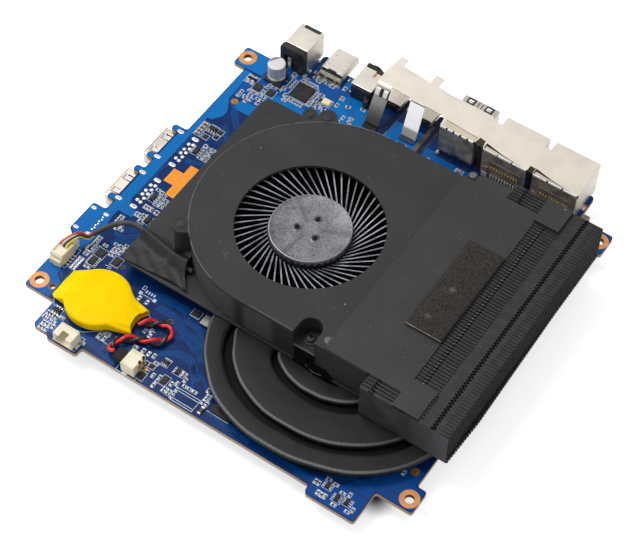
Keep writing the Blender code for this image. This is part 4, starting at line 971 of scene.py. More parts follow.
for x, y, length in (
    (13.6, 16.2, 2.0), (14.6, 15.6, 1.4), (17.0, 114.8, 1.6), (16.2, 112.0, 1.2), (38.6, 4.2, 3.4),
):
    legend.stroke(((x, y), (x + length, y + 0.4)), 0.22, 0.0, legend_top)
legend.row(2, 5.4, 0, 29.2, 14.0, 0.0, 1.1, 1.2, 0.07)
legend.row(4, 1.0, 0, 30.6, 15.4, 0.0, 0.5, 1.0, 0.07)
piece("legend_print", legend)


# Crystal and single parts: a ceramic crystal with a cream lid by the controller, a steel tab on a
# black block beside the heat pipes, a flat black inductor and a brown capacitor at the front edge.
cream_lid = moulding("cream_lid", (238, 222, 176), (248, 238, 206), 0.4, 0.2, 0.006, 1.5)
tab_steel = moulding("tab_steel", (150, 146, 136), (176, 171, 160), 0.35, 0.3, 0.006, 1.2, Metallic=0.3)
part_brown = moulding("part_brown", (62, 50, 42), (88, 72, 60), 0.5, 0.3, 0.006, 1.0)
extras = Shape(tin)
extras.bricks(cream_lid, 0.08, (33.6, 112.0, 0.05, 3.2, 2.5, 0.6), (33.6, 112.0, 0.6, 2.7, 2.0, 0.8))
extras.brick(53.0, 16.6, 0.0, 2.4, 3.0, 1.0, epoxy)
extras.brick(53.05, 16.55, 1.0, 3.1, 3.7, 1.25, tab_steel)
extras.brick(76.2, -6.2, 0.05, 7.6, 5.6, 0.9, epoxy, 0.1)
extras.brick(70.3, -10.4, 0.05, 1.1, 1.9, 0.9, part_brown, 0.15)
extras.row(2, 0, -2.2, 70.3, -9.3, 0.02, 1.15, 0.5, 0.92, tin, 0.06)
piece("crystals_and_ferrites", extras)


# Headers and plugs: cream nylon wire-to-board headers with tinned legs, a cream fan plug and a
# black battery plug pushed into them. Moulded, with eased edges.
cream_nylon = moulding("cream_nylon", (226, 217, 188), (238, 231, 204), 0.42, 0.25, 0.01, 3.0)
plug_black = moulding("plug_nylon", (22, 21, 22), (40, 37, 38), 0.5, 0.2, 0.01, 1.2,
                      Specular_IOR_Level=0.15)
gold_plate = moulding("gold_plate", (214, 160, 70), (240, 200, 120), 0.3, 0.3, 0.004, 0.8, Metallic=0.8)
dress(cream_nylon, "fan_header", "battery_header", "side_header", "fan_plug", edge=0.18)
dress(plug_black, "battery_plug", edge=0.18)


def bent_leaf(shape, y, half, thick, path, look):
    """A leaf contact that follows a path of x and z."""
    section = ((-half, 0), (half, 0), (half, thick), (-half, thick))
    shape.loft([[(x, y + w, z + h) for w, h in section] for x, z in path], look)


legs = Shape(tin)
for count, step_x, step_y, *block in (
    (4, 0, 1.25, 3.4, 9.6, 0.0, 1.5, 0.45, 0.25, tin, 0.05),
    (2, 0, 7.8, 0.4, 7.6, 0.0, 1.6, 1.0, 0.3, tin, 0.06),
    (3, 0, -1.5, 47.2, -7.2, 0.0, 1.6, 0.5, 0.25, tin, 0.05),
    (2, 0, -7.2, 43.2, -5.6, 0.0, 1.8, 0.9, 0.3, tin, 0.06),
    (4, 1.5, 0, 19.2, -10.2, 0.0, 0.5, 1.2, 0.25, tin, 0.05),
    (2, 8.0, 0, 17.5, -13.2, 0.0, 0.9, 1.8, 0.3, tin, 0.06),
):
    legs.row(count, step_x, step_y, *block)
pin_path = ((45.8, 4.0), (46.9, 3.9), (47.3, 2.6), (47.5, 0.1), (48.4, 0.0))
for y in (-8.0, -10.0):
    bent_leaf(legs, y, 0.35, 0.4, pin_path, gold_plate)
    # A dark block of painted shade in each notch beside the pin.
    legs.brick(46.35, y + 1.0, 3.2, 0.5, 0.9, 4.72, plug_black)
legs.bricks(
    cream_nylon, 0.12, (0.4, 16.2, 0.4, 4.2, 2.2, 3.7), (0.5, 7.7, 0.15, 4.0, 1.0, 2.6),
    (-1.7, 12.0, 4.0, 0.6, 5.0, 4.6), (2.4, 11.6, 4.0, 0.5, 5.4, 4.45), (0.3, 8.9, 4.0, 4.6, 0.7, 4.5),
    (44.1, -6.4, 4.3, 4.4, 0.6, 4.75), (46.2, -9.2, 4.3, 0.6, 5.6, 4.7), (44.1, -12.0, 4.3, 4.4, 0.6, 4.75),
    (21.5, -10.9, 4.4, 6.4, 0.5, 4.8),
)
piece("header_legs", legs)


# Battery sleeve: yellow shrink tubing drawn flat over the coin cell, pinched into a flap at the
# left and open at the right, where the leads come out between its folds.
def shrink_film(spot):
    """Yellow vinyl film: glossy, slightly puckered."""
    pucker = cloud(spot, 2.2, 3.0)
    worn = between(cloud(spot, 6.0, 2.0), 0.35, 0.7)
    return {
        "Base Color": tint(worn, (250, 206, 0), (253, 214, 0)),
        "Roughness": pucker * 0.12 + 0.2,
        "Normal": relief(pucker, 0.03),
    }


yellow_film = finish("yellow_film", shrink_film, Specular_IOR_Level=0.03)
cell_centre_x, cell_centre_y, cover_radius = 21.0, 3.3, 10.75


def sleeve_edges(x):
    """The front and rear edge of the sleeve at one place along it."""
    def run(points):
        for (x0, y0), (x1, y1) in zip(points, points[1:]):
            if x <= x1:
                return y0 + (y1 - y0) * (x - x0) / (x1 - x0)
        return points[-1][1]
    reach = math.sqrt(max(cover_radius**2 - (x - cell_centre_x) ** 2, 0.0))
    front = run(((7.4, -2.6), (8.5, -3.4), (12.0, -3.6), (21.0, -2.0), (29.4, -3.6), (36.5, -1.2)))
    rear = run(((7.4, 8.4), (8.5, 9.0), (12.0, 9.6), (21.0, 9.0), (29.4, 10.4), (31.0, 9.5), (36.5, 8.5)))
    return min(front, cell_centre_y - reach), max(rear, cell_centre_y + reach)


def sleeve_section(x, inset=0.0):
    """One flat loop of the sleeve: full over the cell, thin at the flap, puckered at the mouth."""
    front, rear = sleeve_edges(x)
    flap = min(max((x - 7.4) / 5.4, 0.0), 1.0)
    mouth_share = min(max((x - 29.5) / 7.0, 0.0), 1.0)
    flap = flap * flap * (3 - 2 * flap)
    low = 0.25 + 0.5 * (1 - flap) + inset
    high = 1.5 + 2.9 * flap - 0.75 * mouth_share - inset
    power = 2.4 + 4.0 * flap - 2.6 * mouth_share
    middle, half = (front + rear) / 2, (rear - front) / 2 - inset
    loop = []
    for k in range(56):
        a = 2 * math.pi * k / 56
        across_share = math.copysign(abs(math.cos(a)) ** (2 / power), math.cos(a))
        up_share = math.copysign(abs(math.sin(a)) ** (2 / power), math.sin(a))
        fold = 0.0
        if up_share > 0.3:
            waves = 0.42 * math.sin(across_share * 7.5 + x * 0.35) + 0.16 * math.sin(across_share * 17)
            fold = mouth_share * waves + 0.12 * (1 - flap) * math.sin(across_share * 6 + 1)
        y = middle + across_share * half
        lip = mouth_share * (0.5 * across_share**4 - 1.5 * (1 - across_share**2))
        loop.append((x + lip, y, (low + high) / 2 + up_share * (high - low) / 2 + min(fold, high - low)))
    return loop


sleeve = Shape(yellow_film)
sleeve_places = [7.4, 7.9, 8.6, *(9.4 + 0.8 * k for k in range(33)), 35.4, 36.0, 36.5]
sections = [sleeve_section(x) for x in sleeve_places]
sections += [sleeve_section(x, 0.32) for x in (36.5, 34.6, 32.4)]
sleeve.loft(sections)
battery_sleeve = piece("battery_wrap", sleeve, smooth=50)
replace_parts(battery_sleeve, "battery_sleeve")
dress(finish("cell_steel", bright_tin, Metallic=0.9), "coin_cell", edge=0)


# Port shells: folded and plated steel with a warm mirror finish, and the soft grain of rolled
# sheet. The shells' legs go through the board.
def plated(colour, cast, rough=0.2, grain=0.02):
    """Plated sheet: long rolling lines, and a slow drift of tone."""
    def paint(spot):
        drift = between(cloud(spot, 5.0, 3.0), 0.3, 0.75)
        stretch = spot.node("VectorMath", {"operation": "MULTIPLY"}, {0: spot, 1: (0.25, 3.0, 0.6)})
        lines = cloud(stretch, 0.6, 3.0)
        return {
            "Base Color": tint(drift, colour, cast),
            "Roughness": lines * 0.12 + rough,
            "Normal": relief(lines, grain),
        }
    return paint


nickel = finish("nickel_plate", plated((242, 235, 224), (233, 226, 215), 0.32, 0.006), Metallic=0.9)
front_nickel = finish("front_nickel", plated((240, 231, 220), (224, 215, 203), 0.24, 0.006), Metallic=1.0)


def shaded_nickel(spot):
    """Nickel of the tall shells: bright on top, with a painted reflection on the walls behind the cooler.

    The brown and blue there stand in for what the walls mirror, and stay the same in other light."""
    wall = (part_of(spot, 2) < 12.9) * (part_of(spot, 1) < 116.4)
    drift = between(cloud(spot, 3.2, 3.0), 0.3, 0.72)
    bright = tint(drift, (243, 236, 225), (230, 222, 210))
    reflected_brown = tint(drift, (142, 132, 116), (206, 188, 154))
    painted_reflection = tint(between(part_of(spot, 2) + drift * 1.6, 1.6, 4.2), (44, 62, 112), reflected_brown)
    return {
        "Base Color": tint(wall, bright, painted_reflection),
        "Metallic": 1.0 - wall * 0.75,
        "Roughness": cloud(spot, 0.8, 2.0) * 0.1 + 0.2,
    }


dark_nickel = finish("dark_nickel", shaded_nickel)
shells = (
    "power_inlet_shell", "rear_usb_c_shell", "video_port_1_shell", "video_port_2_shell", "audio_jack_cover",
)
front_shells = ("front_usb_1_shell", "front_usb_2_shell", "front_usb_c_shell")
tall_shells = ("usb_stack_shell", "lan_jack_1_shell", "lan_jack_2_shell")
for look, names in ((nickel, shells), (front_nickel, front_shells), (dark_nickel, tall_shells)):
    dress(look, *names, edge=0.22)
port_black = moulding("port_moulding", (28, 28, 30), (48, 48, 50), 0.42, 0.25, 0.012, 3.0)
port_blue = moulding("blue_insert", (28, 84, 176), (48, 110, 204), 0.42, 0.25, 0.012, 3.0)
dress(
    port_black, "power_inlet_moulding", "audio_jack_moulding", "lan_jack_1_insert", "lan_jack_2_insert",
    edge=0.15,
)
dress(
    port_black, "rear_usb_c_insulator", "video_port_1_insulator", "video_port_2_insulator",
    "usb_stack_insulator", "front_usb_c_insulator",
)
dress(port_blue, "front_usb_1_insulator", "front_usb_2_insulator")
dress(gold_plate, "power_inlet_pin", edge=0)


# Port bracket: a nickel-plated strip that ties the rear ports together over their tops, with two
# sloping legs down to the board. Bent sheet with a fine satin mottle.
def satin_plate(spot):
    """Satin nickel: a fine warm mottle with small pale flecks.

    The legs have a painted reflection that grows paler upwards and painted shade at their feet, and the right
    one glows with painted light."""
    mottle = cloud(spot, 0.35, 3.0)
    drift = between(cloud(spot, 6.0, 2.0), 0.35, 0.7)
    height = part_of(spot, 2)
    left_leg = (height < 13.2) * (part_of(spot, 0) < 58.0)
    right_leg = (height < 13.2) * (part_of(spot, 0) > 58.0)
    sheet = tint(mottle * 0.6 + drift * 0.4, (240, 232, 220), (220, 212, 199))
    # Painted reflection on the legs, paler upwards, with painted shade at their feet.
    painted_left_leg = tint(between(height + drift * 2.0, 1.0, 13.0), (112, 108, 104), (226, 222, 216))
    painted_left_leg = tint(between(height, 0.7, 1.4), (50, 48, 46), painted_left_leg)
    painted_right_leg = tint(between(height, 3.4, 4.6), (206, 203, 198), (255, 255, 254))
    painted_right_leg = tint(between(height, 0.5, 1.2), (26, 40, 78), painted_right_leg)
    return {
        "Base Color": tint(right_leg, tint(left_leg, sheet, painted_left_leg), painted_right_leg),
        "Metallic": 0.9 - right_leg * 0.85,
        # The right leg glows with painted light above its foot.
        "Emission Color": tint(right_leg * between(height, 3.4, 4.6), (0, 0, 0), (157.6, 157.6, 157.6)),
        "Roughness": mottle * 0.2 + 0.42,
        "Normal": relief(mottle, 0.015),
    }


satin_nickel = finish("satin_nickel", satin_plate, Emission_Strength=1.0)
dress(satin_nickel, "port_bracket", edge=0.08)
# A near-white painted highlight for the lit edges of the shells' teeth and the bracket's prongs.
glint_white = moulding("glint_white", (240, 238, 232), (254, 253, 250), 0.35, 0.3, 0.004, 1.6)
shell_lip = finish("shell_lip", plated((226, 214, 194), (212, 200, 178), 0.36, 0.006), Metallic=0.85)
shade_and_reflection_brown = moulding("shade_and_reflection_brown", (44, 36, 30), (78, 64, 52), 0.5, 0.3, 0.01, 1.6, Specular_IOR_Level=0.15)
apron = Shape(satin_nickel)


def bent_strip(x, width, path, depth, rise, look=None):
    """A strip of the apron that follows a path of y and z, with its back set off by depth and rise."""
    sides = x - width / 2, x + width / 2
    apron.loft([[(u, y, z) for u in sides] + [(u, y + depth, z + rise) for u in sides[::-1]]
                for y, z in path], look)


for left, right, front, teeth, fill in (
    (75.6, 88.6, 115.25, 5, 0.72), (92.1, 108.4, 114.95, 3, 0.93), (110.6, 127.1, 114.95, 3, 0.9),
):
    pitch = (right - left) / teeth
    apron.row(teeth, pitch, 0, left + pitch / 2, front, 13.1, pitch * fill, 0.42, 13.84, glint_white)
    apron.row(teeth, pitch, 0, left + pitch, front + 0.1, 13.0, pitch * (1 - fill), 0.4, 13.82, port_black)
apron.prism([(75.6, 115.4), (88.6, 115.4), (88.6, 117.5), (76.3, 118.3)], 13.7, 13.79, shell_lip)
# Brown sheets of painted shade in the notch beside the USB stack and in the gap between the network jacks.
apron.prism([(88.7, 115.4), (91.9, 115.2), (91.4, 118.0), (89.2, 118.4)], 12.5, 13.3, shade_and_reflection_brown)
apron.prism([(108.5, 115.2), (110.5, 115.2), (110.5, 117.4), (108.5, 117.4)], 13.5, 13.8, shade_and_reflection_brown)
# Painted reflections, dark and pale, on the tops of the network jacks' shells.
for left in (92.2, 110.7):
    painted_dark_reflection = [(left, 115.2), (left + 14.6, 115.2), (left + 5.8, 116.3), (left, 117.5)]
    apron.prism(painted_dark_reflection, 13.7, 13.8, shade_and_reflection_brown)
    painted_pale_reflection = [(left + 0.5, 115.3), (left + 14.0, 115.3), (left + 5.6, 115.9), (left + 0.5, 116.3)]
    apron.prism(painted_pale_reflection, 13.7, 13.82, shell_lip)
# A line of painted shade along the seam under the bracket, a brown sheet of painted shade down the gap beside
# the USB stack, and a black one between the network jacks.
apron.stroke([(76.2, 118.4), (88.7, 117.6)], 0.16, 13.7, 13.81, shade_and_reflection_brown)
apron.loft([[(88.9, y, z), (91.8, y - 0.2, z), (91.8, y + 0.3, z), (88.9, y + 0.5, z)]
            for y, z in ((116.6, 1.6), (116.2, 5.0), (115.7, 9.0), (115.3, 12.0), (115.3, 12.6))], shade_and_reflection_brown)
apron.brick(109.5, 115.2, 5.0, 2.0, 0.5, 13.6, port_black)
for x in (50.0, 53.0):
    bent_strip(x, 1.6, ((116.9, 10.6), (117.4, 11.7), (118.0, 12.5), (118.8, 12.7)), 0.75, 0.12, glint_white)
# Black strips of painted shadow beside the prongs.
for x, width in ((51.5, 0.9), (54.0, 0.5)):
    bent_strip(x, width, ((116.8, 10.3), (117.5, 11.6), (118.3, 12.6)), 0.65, 0.08, port_black)
bent_strip(51.5, 5.2, ((118.5, 12.75), (119.0, 13.6), (119.8, 13.86)), 0.3, 0.1)
piece("bracket_apron", apron)


# Port details: springs in the front ports' windows, weld dots on the rear USB-C shell, the
# mouldings and contacts behind the ports and the two pin rows of the network jacks.
grey_ceramic = moulding("grey_ceramic", (150, 142, 128), (186, 178, 160), 0.5, 0.2, 0.006, 1.5)
pin_gold = moulding("pin_gold", (214, 172, 84), (240, 208, 132), 0.35, 0.3, 0.004, 0.8, Metallic=0.15)
pin_tin = moulding("pin_tin", (216, 212, 202), (242, 240, 234), 0.35, 0.3, 0.004, 0.8, Metallic=0.15)
# Brown lines of painted shade for the shells' edges and window rims.
edge_shade_brown = moulding("edge_shade_brown", (150, 132, 110), (184, 166, 142), 0.4, 0.3, 0.006, 1.0, Metallic=0.3)
lamp_tan = moulding("lamp_tan", (150, 110, 82), (196, 160, 126), 0.4, 0.3, 0.006, 1.0)
details = Shape(nickel)
# Springs in the front ports' windows, with brown lines of painted shade round the windows and along the
# shells' front and rear edges.
for middle in front_ports:
    for y in (middle - 3.1, middle + 3.1):
        bent_leaf(details, y, 0.85, 0.16, ((-4.4, -2.3), (-3.4, -2.35), (-2.2, -2.1), (-1.0, -2.05)), pin_tin)
        details.frame(-2.9, y, 3.3, 2.7, 0.16, -1.9, -1.86, edge_shade_brown)
    details.brick(-5.25, middle, -1.9, 0.3, 12.7, -1.86, edge_shade_brown)
    details.brick(-0.3, middle, -1.9, 0.25, 6.0, -1.86, edge_shade_brown)
for x, y in (
    (26.3, 124.5), (26.3, 126.8), (26.3, 129.1), (28.0, 124.5),
    (29.8, 124.5), (31.5, 124.5), (31.5, 126.7), (31.5, 129.0),
):
    details.turned(x, y, ((0.19, 3.58), (0.15, 3.63)), 10, port_black)
for x in (25.2, 27.6, 31.0, 32.6):
    details.bead(x, 119.6, 0.0, 1.5, 1.1, 0.9, tin, 30)
details.bead(75.9, 114.9, 0.0, 1.4, 1.0, 1.3, pin_tin, 60)
details.row(9, 0.82, 0, 25.5, 119.7, 0.0, 0.4, 1.3, 0.25, tin, 0.05)
details.row(4, 1.9, 0, 79.0, 115.2, 1.5, 0.5, 0.2, 2.2, port_black, 0.05)
jack_pin_pitch = 9.7 / 9
for left in (92.6, 111.1):
    details.row(10, jack_pin_pitch, 0, left + 3.6, 114.6, 0.7, 0.52, 0.4, 3.4, pin_tin, 0.1)
    details.row(10, jack_pin_pitch, 0, left + 3.3, 114.84, 5.4, 0.55, 0.3, 6.6, pin_gold, 0.06)
    details.brick(left + 1.2, 114.7, 0.9, 2.0, 0.5, 3.2, pin_tin, 0.2)
    details.brick(left + 1.3, 114.75, 3.5, 1.8, 0.5, 6.0, lamp_tan, 0.2)
    # A brown line of painted shade across the jack's face.
    details.brick(left + 8.25, 114.84, 9.0, 11.3, 0.2, 9.25, edge_shade_brown)
for x in (78.6, 85.4):
    details.frame(x, 130.2, 3.0, 2.8, 0.62, 13.04, 13.2, port_black)
    details.brick(x, 130.2, 12.5, 1.5, 1.3, 13.02, edge=0.2)
for x in (47.0, 47.8):
    details.tube([(x - 1.2, 118.6, 0.4), (x, 118.2, 1.6), (x + 0.3, 117.6, 0.2)], 0.28, 8, gold_plate)
for look, edge, *blocks in (
    (nickel, 0.15, (40.4, 127.5, 4.6, 4.6, 2.9, 6.1), (44.4, 127.3, 4.6, 2.6, 2.4, 5.8)),
    (tin, 0.1, *((x, 121.6, 0.0, 0.7, 1.6, 1.1) for x in (75.1, 89.0, 91.6, 108.9, 110.1, 127.4))),
    (tin, 0.12, (14.5, 117.8, 0.2, 1.3, 0.6, 5.4)),
    (tin, 0.15, (13.4, 116.2, 0.0, 1.6, 1.2, 0.6), (20.9, 117.6, 0.0, 1.2, 1.4, 0.7)),
    (port_black, 0, (28.9, 122.5, 3.55, 3.2, 0.55, 3.64), (16.6, 128.85, 10.6, 6.4, 1.25, 10.76),
     (81.3, 130.2, 13.05, 0.3, 2.2, 13.17), (82.7, 130.2, 13.05, 0.3, 2.2, 13.17)),
    (port_black, 0.1, (26.0, 120.6, 1.1, 1.8, 0.9, 2.1), (29.4, 120.6, 1.1, 2.6, 0.9, 2.1),
     (32.2, 120.6, 1.1, 1.0, 0.9, 2.1)),
    (port_black, 0.2, (40.2, 130.0, 3.6, 3.8, 1.5, 6.4), (44.2, 129.3, 3.6, 1.6, 1.4, 6.2),
     (45.4, 118.0, 0.0, 1.4, 2.0, 3.4)),
    (grey_ceramic, 0.5, (28.8, 121.3, 0.1, 8.6, 2.0, 2.5)),
    (grey_ceramic, 0, (129.0, 119.8, -4.6, 2.8, 3.6, -1.6)),
    (gold_plate, 0.05, (43.0, 127.2, 5.7, 0.4, 1.6, 6.2), (44.4, 118.95, 0.3, 0.35, 0.3, 3.6),
     (45.2, 118.95, 0.3, 0.35, 0.3, 2.8)),
):
    details.bricks(look, edge, *blocks)
piece("port_details", details)


# Capacitor and controller: an aluminium can with a pale printed top on a black seat, and a square
# epoxy package with close-set legs on all four sides.
def can_top(spot):
    """Drawn aluminium: bright walls, a whitish top and a mauve mark over its left third."""
    top = part_of(spot, 2) > 7.45
    mark = top * ((part_of(spot, 0) * 0.8 - part_of(spot, 1) * 0.5) < -46.6)
    wall = tint(cloud(spot, 1.4, 3.0), (208, 207, 205), (232, 231, 229))
    white = tint(cloud(spot, 0.5, 2.0), (208, 203, 204), (222, 218, 219))
    faces = tint(top, wall, white)
    return {
        "Base Color": tint(mark, faces, (148, 122, 142)),
        "Metallic": 0.7 - top * 0.65,
        "Roughness": top * 0.1 + 0.42,
    }


dress(finish("can_aluminium", can_top), "capacitor_can", edge=0.35)
dress(port_black, "capacitor_seat", edge=0.1)
dress(epoxy, "controller_chip", edge=0.1)
comb_legs = Shape(tin)
for side in (-3.6, 3.6):
    comb_legs.row(10, 0.58, 0, 21.89, 111.0 + side, 0.0, 0.26, 0.9, 0.2, tin, 0.04)
    comb_legs.row(10, 0, 0.58, 24.5 + side, 108.39, 0.0, 0.9, 0.26, 0.2, tin, 0.04)
comb_legs.row(2, 0, 8.0, 13.4, 107.6, 0.0, 0.9, 1.8, 0.2, tin, 0.05)
piece("controller_legs", comb_legs)


# Processor, cold plate and heat pipes: a bare package under a copper plate, and three flattened
# pipes bent in one curve from the plate to the fins. The pipes are copper under black paint.
def pipe_coat(spot):
    """Black paint over drawn copper, with a painted highlight on the outer shoulders, which the bend
    wrinkles.
    """
    dx, dy = part_of(spot, 0) - bend_x, part_of(spot, 1) - bend_y + 5.0
    turn = dy.math("ARCTAN2", dx)
    folds = (turn * 150.0 + cloud(spot, 2.0, 2.0) * 9.0).math("SINE")
    facing = spot.node("NewGeometry", None, None, "Normal")
    outward = (part_of(facing, 0) * dx + part_of(facing, 1) * dy) > 0.0
    outward = outward * (part_of(spot, 1) < bend_y + 2.0)
    upward = part_of(facing, 2)
    # Painted highlight on the outer shoulders, strongest round the bend and rippled by its wrinkles.
    shoulder_highlight = between(upward, 0.42, 0.76) * (1.0 - between(upward, 0.9, 0.995)) * outward
    side = between(turn, -2.9, -2.4) * (1.0 - between(turn, -0.9, -0.4))
    drift = between(cloud(spot, 9.0, 3.0), 0.35, 0.7)
    flat = tint(drift, (35, 35, 36), (42, 42, 43))
    return {
        "Base Color": tint(shoulder_highlight * (side * 0.45 + 0.4 + folds * side * 0.12), flat, (120, 120, 122)),
        "Roughness": drift * 0.08 + 0.42,
        "Normal": relief(folds * shoulder_highlight * side, 0.014),
    }


bend_x, bend_y, bend_turns = 97.0, 29.5, [math.radians(180 + 4.5 * k) for k in range(41)]


def pipe_edge(reach, sag, right_drop, shifts=(0.0,) * 11):
    """One edge of a pipe: down the left leg, round the bend, squarer at its left, and up the right leg.

    The shifts are how far the hand-bent edge strays outwards, at every 18 degrees of the bend."""
    edge = []
    for k, turn in enumerate(bend_turns):
        step, share = min(k // 4, 9), k / 4 - min(k // 4, 9)
        stray = shifts[step] + (shifts[step + 1] - shifts[step]) * share * share * (3 - 2 * share)
        drop = 11.0 if math.cos(turn) < 0 else right_drop
        x, y = bend_x + reach * math.cos(turn), bend_y - drop + (reach - drop + sag) * math.sin(turn)
        out = Vector((x - bend_x, y - bend_y + 5.0)).normalized() * stray
        edge.append((x + out.x, y + out.y))
    return [(edge[0][0], 68.0)] + edge + [(edge[-1][0], 100.0)]


pipe_black = finish("pipe_black", pipe_coat, Specular_IOR_Level=0.15)
pipe_low, pipe_round = 2.5, 1.3
shoulder_turns = [math.radians(90 - 15 * k) for k in range(13)]
for name, outer, inner in (
    ("heat_pipe_outer", (41.8, -0.5, 4.0, (0.8, -0.35, -0.5, 0.38, 0.25, -0.5, -0.85, -0.15, 0.0, 0.0, 0.0)),
     (35.0, -0.5, 4.0, (0.4, 0.2, 0.1, 0.55, 0.4, -0.3, -0.1, 0.0, 0.6, 0.8, 0.8))),
    ("heat_pipe_middle", (32.95, -1.0, 4.0, (1.0, -0.3, -0.1, 0.4, 0.72, 0.1, 0.0, -0.25, -0.2, 0.2, 0.2)),
     (19.65, 1.3, 4.0, (0.0, 0.1, 0.05, 0.24, 0.0, 0.0, -0.1, 0.0, 0.0, 0.0, 0.0))),
    ("heat_pipe_inner", (18.05, 0.9, 0.0, (0.4, 0.0, -0.2, 0.0, 0.0, -0.55, -0.95, -0.85, -0.5, 0.0, 0.0)),
     (11.55, 0.4, 0.0)),
):
    stations = []
    for (x0, y0), (x1, y1) in zip(pipe_edge(*inner), pipe_edge(*outer)):
        width = math.dist((x0, y0), (x1, y1))
        profile = [(width - pipe_round + pipe_round * math.cos(a), math.sin(a)) for a in shoulder_turns]
        profile += [(pipe_round - pipe_round * math.cos(a), -math.sin(a)) for a in shoulder_turns]
        run_x, run_y = (x1 - x0) / width, (y1 - y0) / width
        stations.append([(x0 + run_x * w, y0 + run_y * w, pipe_low + pipe_round * (1 + rise))
                         for w, rise in profile])
    bent = Shape(pipe_black)
    bent.loft(stations)
    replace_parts(piece("bent_" + name, bent, smooth=50), name)
# A black plate under the pipes, a guessed carrier that also puts painted shade into the gaps between them.
carrier_shade_black = moulding("carrier_shade_black", (10, 10, 11), (18, 18, 19), 0.6, 0.4, 0.01, 4.0,
                         Specular_IOR_Level=0.1)
bed = Shape(carrier_shade_black)
bed.prism(pipe_edge(40.4, -0.5, 4.0)[1:-1] + pipe_edge(11.6, 0.4, 0.0)[-2:0:-1], 1.1, 2.5)
piece("pipe_carrier", bed)
dress(finish("cold_copper", bare_copper, Metallic=0.8), "cold_plate")
dress(moulding("package_laminate", (34, 78, 62), (52, 98, 80), 0.4, 0.3, 0.01, 3.0), "processor")


# Cooler plate and blower: a black-coated steel plate, and a moulded case and cover screwed to it.
# Spark-eroded matt plastic that holds a little pale dust.
def dusty(colour, worn, rough=0.6, specks=0.018):
    """Matt black with a fine tooth, pale wear and scattered specks of dust."""
    def paint(spot):
        wear = between(cloud(spot, 16.0, 4.0), 0.35, 0.7)
        grain = between(cloud(spot, 0.3, 3.0), 0.25, 0.75)
        motes = spot.node("TexVoronoi", None, {"Vector": spot, "Scale": 0.12})
        fine = spot.node("TexVoronoi", None, {"Vector": spot, "Scale": 0.3})
        dust = (motes < specks * 1.5).math("MAXIMUM", (fine < specks * 2.4) * 0.5)
        base = tint(wear * 0.4 + grain * 0.6, colour, worn)
        return {
            "Base Color": tint(dust * 0.6, base, (190, 190, 192)),
            "Roughness": grain * 0.16 + (rough - 0.08),
            "Normal": relief(grain, 0.02),
        }
    return paint


def case_walls(spot):
    """The case's plastic, painted paler on the flats of its front wall, where light falls on it."""
    values = dusty((34, 34, 36), (42, 42, 44))(spot)
    x, front_wall = part_of(spot, 0), 1.0 - between(part_of(spot, 1), 24.0, 30.0)
    middle_flat = between(x, 64.5, 67.0) * (1.0 - between(x, 74.0, 78.0))
    flats = middle_flat + (1.0 - between(x, 60.5, 63.5)) + between(x, 91.0, 93.0) * 0.4
    values["Base Color"] = tint(flats * front_wall, values["Base Color"], (68, 68, 70))
    return values


case_black = finish("case_black", case_walls, Specular_IOR_Level=0.3)
cover_black = finish("cover_black", dusty((38, 38, 40), (53, 53, 55)), Specular_IOR_Level=0.3)
plate_black = finish("plate_black", dusty((36, 36, 38), (50, 50, 52), 0.5), Specular_IOR_Level=0.3)
dress(case_black, "blower_case", edge=0.25)
dress(case_black, "blower_stator", edge=0)
dress(cover_black, "blower_cover", edge=0.25)
dress(plate_black, "cooler_base_plate", edge=0.12)


def blade_coat(spot):
    """Black plastic blades with a painted highlight on their narrow tops."""
    facing = part_of(spot.node("NewGeometry", None, None, 1), 2)
    top_highlight = between(facing, 0.82, 0.93) * (part_of(spot, 2) > 14.0)
    wear = cloud(spot, 1.8, 3.0)
    pale = tint(between(cloud(spot, 5.0, 3.0), 0.35, 0.65), (98, 102, 108), (158, 162, 168))
    return {
        "Base Color": tint(top_highlight, (20, 22, 28), pale),
        "Roughness": wear * 0.2 + 0.3,
        "Normal": relief(cloud(spot, 0.4, 2.0), 0.008),
    }


dress(finish("blade_black", blade_coat), "blower_rotor", edge=0)


# Hub cap: a thin spun-metal disc pressed on the rotor's hub, brushed round, with a rolled rim
# and three shallow dimples. It turns with the rotor.
axle_x, axle_y = 66.4, 53.5


def spun_metal(spot):
    """Grey metal brushed in rings, with three soft dark bands of painted reflection from the middle out."""
    dx, dy = part_of(spot, 0) - axle_x, part_of(spot, 1) - axle_y
    radius = (dx * dx + dy * dy) ** 0.5
    turn = dy.math("ARCTAN2", dx)
    fibres = cloud(spot.node("CombineXYZ", None, {0: turn * 14.0, 1: radius * 0.9}), 1.0, 3.0)
    rings = cloud(spot.node("CombineXYZ", None, {0: radius * 6.0, 1: turn * 0.3}), 1.0, 3.0)
    mottle = cloud(spot, 0.45, 5.0)
    slow = cloud(spot, 5.0, 2.0)
    reflection_marks = (turn * 3.0 - 1.45 + slow * 0.5).math("COSINE")
    painted_reflection_bands = between(reflection_marks, 0.93, 1.0) * between(radius, 2.0, 4.0) * 0.45
    tone = between(mottle * 0.5 + fibres * 0.3 + slow * 0.35, 0.4, 0.74)
    return {
        "Base Color": tint(painted_reflection_bands, tint(tone, (84, 84, 87), (140, 141, 144)), (70, 70, 72)),
        "Roughness": rings * 0.2 + 0.36,
        "Normal": relief(rings * 0.4 + mottle, 0.025),
    }


